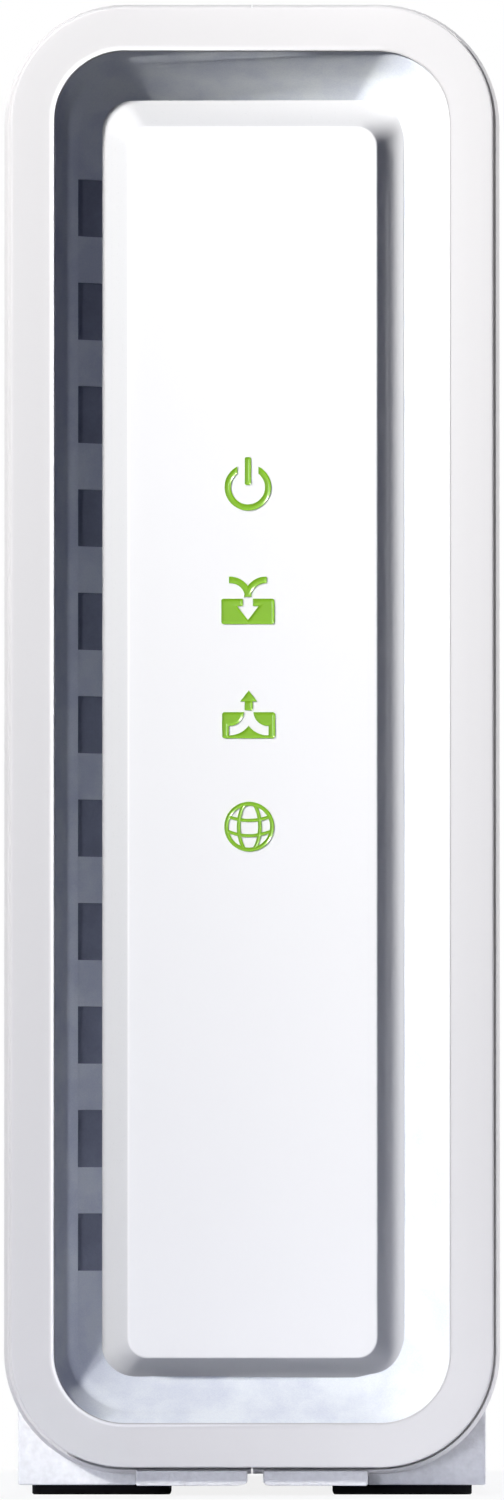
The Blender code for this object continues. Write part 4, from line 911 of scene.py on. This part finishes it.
# %% Base
BASE_HALF, BASE_BOTTOM, WEB_HALF, WEB_TOP = 20.85, 0.9, 10.3, 2.24
NOTCH_LEFT, NOTCH_RIGHT, NOTCH_RISE, LEFT_RUN, RIGHT_RUN = -0.41, 1.01, 0.4, 1.6, 0.8
CHEEK_Y, CHEEK_BEVEL, WEB_Y, WEB_BEVEL = (-58.5, 56.35), 0.7, (-63.1, 55.95), 0.2
BODY_BOTTOM = MIDDLE - BODY_HALF[1]
CORNER_X, CORNER_Z = BODY_HALF[0] - BODY_RADIUS, BODY_BOTTOM + BODY_RADIUS
TUCK, BEND_POINTS, EASE_POINTS = 0.6, 14, 7


def prism(name, outline, y_range, mirror, bevel_mm):
    """An outline (x, z) run from one depth to another."""
    x, z = np.asarray(outline).T
    return add_piece(
        name, points_of(mirror * x, np.array(y_range)[:, None], z), grid_faces(2, len(x)),
        BASE, "case_white", caps=end_caps(2, len(x)), bevel_mm=bevel_mm,
    )


tuck_radius = BODY_RADIUS - TUCK
bend = np.linspace(np.arccos((BASE_HALF - CORNER_X) / tuck_radius), np.pi / 2, BEND_POINTS)
under = np.column_stack([-CORNER_X - tuck_radius * np.cos(bend), CORNER_Z - tuck_radius * np.sin(bend)])
cheek = np.vstack([
    [(-BASE_HALF, BASE_BOTTOM), (-WEB_HALF, BASE_BOTTOM), (-WEB_HALF, BODY_BOTTOM + TUCK)], under[::-1]
])
t = np.linspace(0, 1, EASE_POINTS)
for side, mirror, notch, run in (("left", 1, NOTCH_LEFT, LEFT_RUN), ("right", -1, -NOTCH_RIGHT, RIGHT_RUN)):
    eased = np.column_stack([notch - run * (1 - t) ** 2, BASE_BOTTOM + NOTCH_RISE * t**2])
    web = np.vstack([[(-WEB_HALF, BASE_BOTTOM)], eased, [(notch, WEB_TOP), (-WEB_HALF, WEB_TOP)]])
    prism(side + "_cheek", cheek, CHEEK_Y, mirror, CHEEK_BEVEL)
    prism(side + "_web", web, WEB_Y, mirror, WEB_BEVEL)

# %% [markdown]
# ## Rubber pads
# Four black pads keep it from sliding. They are cut from sheet, so they are rounded rectangles with
# upright sides and a slightly broken lower edge.

# %% Pads
PAD_HALF, PAD_RADIUS, PAD_STEPS, PAD_TOP, PAD_EDGE = (6.2, 8.0), 1.2, 6, 1.3, 0.12


def node_middle(name):
    """Middle of a CAD node's box, in millimetres."""
    low, high = (np.array(corner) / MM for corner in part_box(name))
    return (low + high) / 2


pad_inset, pad_z = np.array([(PAD_EDGE, 0.0), (0.0, PAD_EDGE), (0.0, PAD_TOP)]).T
pad_x, pad_y = joined(arcs(
    PAD_HALF[0] - pad_inset, PAD_HALF[1] - pad_inset, PAD_RADIUS - pad_inset, PAD_STEPS
))
for pad_name in ("pad_front_left", "pad_front_right", "pad_rear_left", "pad_rear_right"):
    middle_x, middle_y, _ = node_middle(pad_name)
    pad = add_piece(
        pad_name + "_rubber", points_of(pad_x + middle_x, pad_y + middle_y, pad_z[:, None]),
        grid_faces(*pad_x.shape), RUBBER, "pad_black", caps=end_caps(*pad_x.shape),
    )
    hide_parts(pad_name)

# %% [markdown]
# ## The back: pieces about an axis
# Everything at the back sits round an axis that points out of the case: screws, a threaded socket, a nut,
# two inlets. Such a piece is a grid of rows and angles: each row says how far it reaches from the axis at
# each angle, and at which depth it lies. A circle reaches equally far all round, a box reaches as far as
# its nearer wall.


# %% Polar pieces
SOCKET_EDGE, NOT_ZERO = 0.2, 1e-9


def full_turn(count):
    """Angles once round, without the last one, which is the first again."""
    return np.linspace(0, 2 * np.pi, count, endpoint=False)


def box_reach(turn, low_x, high_x, low_z, high_z):
    """Reach of a box about the axis: the smaller of (wall x / cos a) and (wall z / sin a)."""
    cos, sin = np.cos(turn), np.sin(turn)
    across = np.where(cos > 0, high_x, -low_x) / np.maximum(np.abs(cos), NOT_ZERO)
    upward = np.where(sin > 0, high_z, -low_z) / np.maximum(np.abs(sin), NOT_ZERO)
    return np.minimum(across, upward)


def block_rows(reach, front, back, collar):
    """Rows of a block with broken edges, from its closed front to where a collar leaves its back."""
    return [
        (0, front), (reach - SOCKET_EDGE, front), (reach, front + SOCKET_EDGE),
        (reach, back - SOCKET_EDGE), (reach - SOCKET_EDGE, back), (collar, back),
    ]


def polar_rows(turn, *rows):
    """Stacks (reach, depth) rows, where each may be a number, or an array over the angles."""
    reach = np.stack([np.broadcast_to(r, turn.shape) for r, _ in rows])
    depth = np.stack([np.broadcast_to(d, turn.shape) for _, d in rows])
    return reach, depth


def polar_piece(name, axis, turn, reach, depth, finish, slot, closed=False, sharp=35):
    """x = axis x + reach cos a, z = axis z + reach sin a, y = depth, for each row and angle."""
    x, z = axis[0] + reach * np.cos(turn), axis[1] + reach * np.sin(turn)
    faces = grid_faces(*x.shape, close_rows=closed)
    return add_piece(name, points_of(x, depth, z), faces, finish, slot, sharp=sharp)


def turned_piece(name, axis, corners, soft, finish, slot, closed=False, columns=64):
    """A lathe piece: a section (radius, depth) with softened corners, the same at every angle."""
    turn = full_turn(columns)
    reach, depth = polar_rows(turn, *softened(corners, soft, closed=closed))
    return polar_piece(name, axis, turn, reach, depth, finish, slot, closed)


# %% [markdown]
# The screws have a pan head with a cross recess for the driver. The head is a lathe section, and the
# cross is taken off its height: where a point is close to one of the two bars, the surface goes down,
# deepest in the middle. Each screw stops at its own angle, as screws do.

# %% Screws
SEAT, SCREW_COUNT, SCREW_COLUMNS, SCREW_STEP = 55.15, 4, 96, 0.7
CROWN_RADIUS, CROWN_RISE, CROWN_DROP, CROWN_ROWS = 1.55, 1.4, 0.06, 30
HEAD_SHOULDER, HEAD_SHOULDER_RISE, HEAD_RADIUS, HEAD_SIDE = 1.75, 1.32, 2.4, 0.6
SHANK_RADIUS, SHANK_END, SCREW_TIP = 1.3, 47.9, 46.45
CROSS_HALF, CROSS_REACH, CROSS_EDGE, CROSS_RUN, CROSS_DEPTH, CROSS_LEVEL = 0.26, 1.4, 0.07, 0.6, 0.8, 1.2
from_axis = np.linspace(0, 1, CROWN_ROWS)
crown = np.column_stack([CROWN_RADIUS * from_axis, SEAT + CROWN_RISE - CROWN_DROP * from_axis**2])
head_side = softened(
    [
        (CROWN_RADIUS, SEAT + CROWN_RISE - CROWN_DROP), (HEAD_SHOULDER, SEAT + HEAD_SHOULDER_RISE),
        (HEAD_RADIUS, SEAT + HEAD_SIDE), (HEAD_RADIUS, SEAT), (SHANK_RADIUS, SEAT),
        (SHANK_RADIUS, SHANK_END), (0, SCREW_TIP),
    ],
    reach=[0, 0.15, 0.4, 0.1, 0.05, 0.2, 0], steps=5,
)
screw_turn = full_turn(SCREW_COLUMNS)
screw_reach, screw_depth = polar_rows(screw_turn, *crown, *head_side[1:])
for number in range(1, SCREW_COUNT + 1):
    axis_x, _, axis_z = node_middle(f"panel_screw_{number}")
    stop = screw_turn + SCREW_STEP * number
    bar = np.minimum(np.abs(screw_reach * np.cos(stop)), np.abs(screw_reach * np.sin(stop)))
    ends = np.clip((CROSS_REACH - screw_reach) / CROSS_RUN, 0, 1)
    cut = CROSS_DEPTH * ends * np.clip((CROSS_HALF - bar) / CROSS_EDGE, 0, 1)
    cut = np.where(screw_depth > SEAT + CROSS_LEVEL, cut, 0)
    screw = polar_piece(
        f"screw_{number}", (axis_x, axis_z), screw_turn, screw_reach, screw_depth - cut,
        ZINC, "screw_steel", sharp=40,
    )
    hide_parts(f"panel_screw_{number}")

# %% [markdown]
# The cable screws onto a nickel-plated barrel. Its thread is one formula: the radius rises and falls with
# the depth divided by the pitch, less the angle as a share of a full turn, so that the ridge climbs one
# pitch each time round. Ridge and root are flat, as cut threads are, and the ridge dies out towards both
# ends.

# %% Coax barrel
COAX, COAX_COLUMNS = (-0.3, 69.45), 72
COAX_ROOT, COAX_RIDGE, COAX_PITCH, COAX_TIP, COAX_BORE, COAX_FLOOR = 4.3, 0.46, 0.794, 65.85, 3.6, 56.85
BLOCK_FRONT, BLOCK_BACK, BLOCK_HALF = 42.55, 52.55, 6.3
THREAD_ROWS, THREAD_START, THREAD_STOP, THREAD_GAP, THREAD_FADE = 128, 0.1, 0.35, 0.5, 0.7
RIDGE_STEEP, RIDGE_ROOT = 1.5, 0.25
TIP_SOFT, TIP_FALL, TIP_EDGE, MOUTH_EDGE = 0.12, 0.06, 0.22, 0.15
coax_turn = full_turn(COAX_COLUMNS)
block_reach = box_reach(coax_turn, -BLOCK_HALF, BLOCK_HALF, -BLOCK_HALF, BLOCK_HALF)
barrel_y = np.linspace(BLOCK_BACK + THREAD_START, COAX_TIP - THREAD_STOP, THREAD_ROWS)[:, None]
climb = (barrel_y / COAX_PITCH - coax_turn / (2 * np.pi)) % 1.0
ridge = np.clip(RIDGE_STEEP * (1 - np.abs(2 * climb - 1)) - RIDGE_ROOT, 0, 1)
from_ends = np.stack([COAX_TIP - barrel_y, barrel_y - BLOCK_BACK])
fade = np.clip((from_ends - THREAD_GAP) / THREAD_FADE, 0, 1).prod(axis=0)
block = polar_rows(coax_turn, *block_rows(block_reach, BLOCK_FRONT, BLOCK_BACK, COAX_ROOT))
mouth = polar_rows(
    coax_turn, (COAX_ROOT - TIP_SOFT, COAX_TIP - TIP_FALL), (COAX_ROOT - TIP_EDGE, COAX_TIP),
    (COAX_BORE + MOUTH_EDGE, COAX_TIP), (COAX_BORE, COAX_TIP - MOUTH_EDGE), (COAX_BORE, COAX_FLOOR),
    (0, COAX_FLOOR),
)
coax = polar_piece(
    "coax_barrel", COAX, coax_turn,
    np.vstack([block[0], COAX_ROOT + COAX_RIDGE * ridge * fade, mouth[0]]),
    np.vstack([block[1], np.broadcast_to(barrel_y, climb.shape), mouth[1]]), NICKEL, "nickel",
)
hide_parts("coax_body")

# %% [markdown]
# A washer and a hexagon nut hold the barrel in the panel. A hexagon reaches a / cos(a') from its axis,
# with a' the angle from the middle of the nearest flat. Its corners are turned off by a cone, so each row
# takes the smaller of the hexagon and the cone at its depth. White plastic in the bore holds the contact,
# with a flared hole.

# %% Washer, nut and insert
WASHER_BORE, WASHER_RADIUS, WASHER_TOP, WASHER_SOFT = 4.9, 6.8, 55.95, 0.18
NUT_LOW, NUT_HIGH, NUT_HALF, NUT_BORE, NUT_EDGE, NUT_COLUMNS = 56.25, 58.65, 5.55, 4.85, 0.3, 96
CONE_START, CONE_SLOPE, CONE_DEPTHS = 0.1, 1.5, (0.0, 0.08, 0.2, 0.35, 0.5, 0.7)
INSERT_LOW, INSERT_HIGH, INSERT_RADIUS = 57.15, 64.15, 3.3
HOLE_RADIUS, HOLE_FLARE, HOLE_NECK, HOLE_FLOOR = 0.6, 1.25, 63.4, 58.2
INSERT_SOFT = (0, 0.15, 0.3, 0.1, 0.1, 0.02, 0)
washer_corners = [
    (WASHER_BORE, SEAT), (WASHER_RADIUS, SEAT), (WASHER_RADIUS, WASHER_TOP), (WASHER_BORE, WASHER_TOP)
]
washer = turned_piece("washer", COAX, washer_corners, WASHER_SOFT, ZINC, "screw_steel", closed=True)
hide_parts("coax_washer")
nut_turn = full_turn(NUT_COLUMNS)
hexagon = NUT_HALF / np.cos(nut_turn % (np.pi / 3) - np.pi / 6)
coned = [np.minimum(hexagon, NUT_HALF - CONE_START + CONE_SLOPE * depth) for depth in CONE_DEPTHS]
nut_rows = [(reach, NUT_LOW + depth) for reach, depth in zip(coned, CONE_DEPTHS)]
nut_rows += [(reach, NUT_HIGH - depth) for reach, depth in zip(coned[::-1], CONE_DEPTHS[::-1])]
nut_rows += [
    (NUT_BORE + NUT_EDGE, NUT_HIGH), (NUT_BORE, NUT_HIGH - NUT_EDGE),
    (NUT_BORE, NUT_LOW + NUT_EDGE), (NUT_BORE + NUT_EDGE, NUT_LOW),
]
nut = polar_piece(
    "nut", COAX, nut_turn, *polar_rows(nut_turn, *nut_rows), NICKEL, "nickel", closed=True, sharp=25
)
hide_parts("coax_nut")
insert = turned_piece(
    "insert", COAX,
    [
        (0, INSERT_LOW), (INSERT_RADIUS, INSERT_LOW), (INSERT_RADIUS, INSERT_HIGH), (HOLE_FLARE, INSERT_HIGH),
        (HOLE_RADIUS, HOLE_NECK), (HOLE_RADIUS, HOLE_FLOOR), (0, HOLE_FLOOR),
    ],
    INSERT_SOFT, INSERT, "insert_white",
)
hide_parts("coax_insert")

# %% [markdown]
# The power inlet is a box on the board that becomes a round collar where it passes the panel, with a pin
# in its bore. The same grid does both: rows that reach to a box, then rows that reach to a circle.

# %% Power inlet
POWER, INLET_HALF, INLET_COLUMNS = (-1.1, 51.45), (5.5, 4.5), 96
INLET_FRONT, INLET_BACK, INLET_FACE, INLET_FLOOR, COLLAR, BORE = 38.55, 52.55, 55.15, 45.15, 4.2, 3.2
COLLAR_ROUND, BORE_ROUND, ROUND_ROWS = 0.3, 0.35, 5
PIN_RADIUS, PIN_LOW, PIN_HIGH, PIN_FOOT, PIN_ROUND = 1.0, 45.45, 53.95, 0.05, 0.7
inlet_turn = full_turn(INLET_COLUMNS)
inlet_reach = box_reach(inlet_turn, -INLET_HALF[0], INLET_HALF[0], -INLET_HALF[1], INLET_HALF[1])
quarter = np.linspace(0, np.pi / 2, ROUND_ROWS)
less_cos, less_sin = 1 - np.cos(quarter), 1 - np.sin(quarter)
collar_edge = np.column_stack([COLLAR - COLLAR_ROUND * less_cos, INLET_FACE - COLLAR_ROUND * less_sin])
bore_edge = np.column_stack([BORE + BORE_ROUND * less_sin, INLET_FACE - BORE_ROUND * less_cos])
inlet = polar_piece(
    "power_inlet", POWER, inlet_turn,
    *polar_rows(
        inlet_turn, *block_rows(inlet_reach, INLET_FRONT, INLET_BACK, COLLAR),
        *collar_edge, *bore_edge, (BORE, INLET_FLOOR), (0, INLET_FLOOR),
    ),
    SOCKET, "socket_black",
)
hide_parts("power_jack")
pin = turned_piece(
    "power_pin", POWER, [(0, PIN_LOW), (PIN_RADIUS, PIN_LOW), (PIN_RADIUS, PIN_HIGH), (0, PIN_HIGH)],
    [0, PIN_FOOT, PIN_ROUND, 0], NICKEL, "nickel", columns=32,
)
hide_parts("power_jack_pin")

# %% [markdown]
# The network socket is a black box with a port for the plug and a slot beside it for the plug's latch.
# Seen from the middle of the port, the two openings together reach as far as the further of two boxes,
# so port and body are rows of one grid again. The angles of all the corners are in the list, or the
# corners would be cut off.

# %% Network socket
PORT, PORT_COLUMNS, TURN_DIGITS = (-0.8, 93.45), 120, 7
JACK_FRONT, JACK_FACE, PORT_FLOOR, LATCH_FLOOR, FLOOR_STEP = 34.35, 55.15, 40.35, 46.35, 0.01
JACK_EDGE, PORT_EDGE, EDGE_SOFT, CORNER_STEP = 0.25, 0.3, 0.08, 1e-3
BODY_BOX, PORT_BOX, LATCH_BOX = (-5.8, 7.5, -7.95, 7.95), (-3.6, 3.6, -5.95, 5.95), (-3.6, 6.2, -3.1, 3.1)
corner_turns = [
    np.arctan2(z, x) for low_x, high_x, low_z, high_z in (BODY_BOX, PORT_BOX, LATCH_BOX)
    for x in (low_x, high_x) for z in (low_z, high_z)
]
side_turns = [np.arctan2(z, PORT_BOX[1] + step) for z in LATCH_BOX[2:] for step in (0.0, CORNER_STEP)]
even_turns = full_turn(PORT_COLUMNS) - np.pi
port_turn = np.unique(np.round(np.concatenate([even_turns, corner_turns, side_turns]), TURN_DIGITS))
body_reach, port_reach, latch_reach = (box_reach(port_turn, *b) for b in (BODY_BOX, PORT_BOX, LATCH_BOX))
opening = np.maximum(port_reach, latch_reach)
socket = polar_piece(
    "network_socket", PORT, port_turn,
    *polar_rows(
        port_turn, (0, JACK_FRONT), (body_reach - SOCKET_EDGE, JACK_FRONT),
        (body_reach, JACK_FRONT + SOCKET_EDGE), (body_reach, JACK_FACE - JACK_EDGE),
        (body_reach - EDGE_SOFT, JACK_FACE - EDGE_SOFT), (body_reach - JACK_EDGE, JACK_FACE),
        (opening + PORT_EDGE, JACK_FACE), (opening + EDGE_SOFT, JACK_FACE - EDGE_SOFT),
        (opening, JACK_FACE - PORT_EDGE), (opening, LATCH_FLOOR),
        (port_reach, LATCH_FLOOR - FLOOR_STEP), (port_reach, PORT_FLOOR), (0, PORT_FLOOR),
    ),
    SOCKET, "socket_black", sharp=30,
)
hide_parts("ethernet_jack")

# %% [markdown]
# Two small lamps beside the latch slot show link and traffic. Each is a clear block with a slightly domed
# end, so its rows are rounded rectangles that shrink as they rise.

# %% Link lights
LIGHT_HALF, LIGHT_TOP, LIGHT_LENGTH, LIGHT_RADIUS, LIGHT_STEPS = (0.9, 1.1), 55.35, 4.0, 0.25, 5
DOME_HEIGHT, DOME_INSET, DOME_ROWS = 0.28, 0.85, 6
dome = np.linspace(0, np.pi / 2, DOME_ROWS + 1)[:-1]
light_inset = np.append(0.0, DOME_INSET * (1 - np.cos(dome)))
light_y = np.append(LIGHT_TOP - LIGHT_LENGTH, LIGHT_TOP - DOME_HEIGHT * (1 - np.sin(dome)))
light_x, light_z = joined(arcs(
    LIGHT_HALF[0] - light_inset, LIGHT_HALF[1] - light_inset, LIGHT_RADIUS * (1 - light_inset), LIGHT_STEPS
))
for side, lens_finish in (("left", AMBER), ("right", LINK_GREEN)):
    middle_x, _, middle_z = node_middle("link_light_" + side)
    lens = add_piece(
        "lens_" + side, points_of(light_x + middle_x, light_y[:, None], light_z + middle_z),
        grid_faces(*light_x.shape), lens_finish, "clear_plastic", caps=end_caps(*light_x.shape),
    )
    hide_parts("link_light_" + side)

# %% [markdown]
# ## Floor
# The modem stands on white paper that runs out to a white room. Close to the modem the paper shows a part
# of the light that falls on it, and so keeps the shadow; further away it fades to plain white for the
# camera, as an overexposed backdrop does. Out there it is dark to everything else, so that it throws no
# light back.

# %% Floor
FLOOR_HALF, FLOOR_CELLS = 3000.0, 30
PAPER_FADE, SHADOW_FADE, SHADOW_SHARE = (0.09, 0.14), (0.065, 0.1), 0.14
PAPER_COOL, PAPER_PALE, PAPER_FAR = (0.85, 0.87, 0.94, 1), (0.89, 0.91, 0.97, 1), (0.02, 0.02, 0.02, 1)
PAPER_CLOUD, PAPER_GRAIN, PAPER_ROUGH, PAPER_SHEEN, WHITE = 40.0, 1.0, 0.8, 0.1, (1, 1, 1, 1)
floor_line = np.linspace(-FLOOR_HALF, FLOOR_HALF, FLOOR_CELLS + 1)
floor_points = points_of(*np.meshgrid(floor_line, floor_line), 0.0)
floor_faces = grid_faces(FLOOR_CELLS + 1, FLOOR_CELLS + 1, close_columns=False)
floor_mesh = bpy.data.meshes.new("floor")
floor_mesh.from_pydata((floor_points * MM).tolist(), [], floor_faces.tolist())
floor = bpy.data.objects.new("floor", floor_mesh)
bpy.context.scene.collection.objects.link(floor)

paper, paper_shader, paper_place = new_finish("paper")
from_modem = paper_place.node("VectorMath", {"operation": "LENGTH"}, {0: paper_place}, "Value")
is_near = 1 - from_modem.ramp(*PAPER_FADE)
is_close = 1 - from_modem.ramp(*SHADOW_FADE)
paper_tone = paper_place.noise(PAPER_CLOUD, DETAIL).mix(PAPER_COOL, PAPER_PALE)
feed(paper_shader, {
    "Base Color": is_near.mix(PAPER_FAR, paper_tone),
    "Roughness": PAPER_ROUGH + PAPER_SHEEN * paper_place.noise(PAPER_GRAIN),
})
to_camera = paper_place.node("LightPath", output="Is Camera Ray")
plain_white = paper_place.node("Emission", {}, {"Color": WHITE, "Strength": 1.0})
lit_paper = Wire(paper.node_tree, paper_shader.outputs[0])
faded = paper_place.node(
    "MixShader", {}, {0: to_camera * (1 - SHADOW_SHARE * is_close), 1: lit_paper, 2: plain_white}
)
feed(paper.node_tree.nodes["Material Output"], {"Surface": faded})
floor_mesh.materials.append(paper)
print("floor of", len(floor_faces), "cells")

# %% [markdown]
# The room is white to the camera and to reflections, but gives only a weak bluish fill to shade. A Light
# Path node tells the rays apart.

# %% World
FILL = (0.02, 0.026, 0.075, 1)
world = bpy.data.worlds.new("room")
bpy.context.scene.world = world
world.use_nodes = True
room = world.node_tree
rays = room.nodes.new("ShaderNodeLightPath").outputs
straight, mirrored, through = (
    Wire(room, rays[name]) for name in ("Is Camera Ray", "Is Glossy Ray", "Is Transmission Ray")
)
is_white = (straight + mirrored + through).ramp(0.0, 1.0)
feed(room.nodes["Background"], {"Color": is_white.mix(FILL, WHITE), "Strength": 1.0})
print("room fill", FILL[:3])

# %% [markdown]
# ## Lamps
# One soft lamp from the upper left makes the picture: it leaves the left of the channel and the right
# flank of the panel in shade and lights everything that faces it. It is a spot that is aimed past the
# upper right corner, so its soft edge falls over the lower left, which is the slow fall-off on the white
# ring. A weak bluish spot, a little left of the lens, lifts the shade, most at the bottom. Two soft boxes
# behind the modem light its back and sides; they are hidden from reflections, or they would shine as a
# white streak along the top of the case.
#
# White faces that look at each other also light each other. In the photograph that light is weak, so
# channel and panel are kept out of diffuse bounces: they take light from the lamps and the room, but hand
# none on.

# %% Lamps
CENTRE = Vector((0, FRONT * MM, MIDDLE * MM))
KEY_WAY, KEY_AIM = Vector((-0.5, -0.74, 0.45)), Vector((0.181, FRONT * MM, 0.17))
KEY_DISTANCE, KEY_POWER, KEY_RADIUS, KEY_ANGLE = 1.6, 725.0, 0.235, 12.4
FILL_PLACE, FILL_AIM = Vector((-0.45, -1.65, 0.12)), Vector((-0.02, FRONT * MM, 0.0))
FILL_POWER, FILL_RADIUS, FILL_ANGLE, FILL_COLOUR = 36.0, 0.12, 9.0, (0.82, 0.86, 1.0)
BACK_AIM, BACK_SIZE = Vector((0, 0.03, 0.065)), 0.4
BACK_LAMPS = (("back_right", Vector((0.7, 0.3, 0.2)), 5.7), ("back_left", Vector((-0.4, 0.7, 0.22)), 4.2))


def add_lamp(name, kind, place, aim, power, settings):
    """A lamp at a place that looks at a point."""
    data = bpy.data.lights.new(name, kind)
    data.energy = power
    for key, value in settings.items():
        setattr(data, key, value)
    lamp = bpy.data.objects.new(name, data)
    lamp.location = place
    lamp.rotation_euler = (aim - place).to_track_quat("-Z", "Y").to_euler()
    bpy.context.scene.collection.objects.link(lamp)
    print(name, power, "W")
    return lamp


def soft_spot(radius, angle):
    """Settings of a spot with a wide soft edge."""
    return {"shadow_soft_size": radius, "spot_size": np.radians(angle), "spot_blend": 1.0}


add_lamp(
    "key", "SPOT", CENTRE + KEY_DISTANCE * KEY_WAY, KEY_AIM, KEY_POWER, soft_spot(KEY_RADIUS, KEY_ANGLE)
)
add_lamp(
    "fill", "SPOT", FILL_PLACE, FILL_AIM, FILL_POWER,
    {**soft_spot(FILL_RADIUS, FILL_ANGLE), "color": FILL_COLOUR},
)
for lamp_name, lamp_place, lamp_power in BACK_LAMPS:
    lamp = add_lamp(lamp_name, "AREA", lamp_place, BACK_AIM, lamp_power, {"shape": "DISK", "size": BACK_SIZE})
    lamp.visible_glossy = False
for piece in (channel, panel):
    piece.visible_diffuse = False

# %% [markdown]
# ## Camera
# The photograph was taken from straight ahead with a long lens, a little below the middle. The long side
# of the picture is 133 mm at the modem's front, which fixes the lens for the chosen distance.

# %% Camera
CAMERA_DISTANCE, PICTURE_HEIGHT, CAMERA_DROP, AIM_HEIGHT = 1500.0, 133.2, 41.0, 66.25
SENSOR, CLIP_START = 36.0, 0.01
camera_data = bpy.data.cameras.new("camera")
camera_data.sensor_width = SENSOR
camera_data.lens = SENSOR * CAMERA_DISTANCE / PICTURE_HEIGHT
camera_data.clip_start = CLIP_START
camera = bpy.data.objects.new("camera", camera_data)
camera_aim = Vector((0, FRONT * MM, AIM_HEIGHT * MM))
camera.location = camera_aim + Vector((0.0, -CAMERA_DISTANCE, -CAMERA_DROP)) * MM
camera.rotation_euler = (camera_aim - camera.location).to_track_quat("-Z", "Y").to_euler()
bpy.context.scene.collection.objects.link(camera)
bpy.context.scene.camera = camera
bpy.context.scene.view_settings.view_transform = "Standard"
print("lens", round(camera_data.lens, 1), "mm")
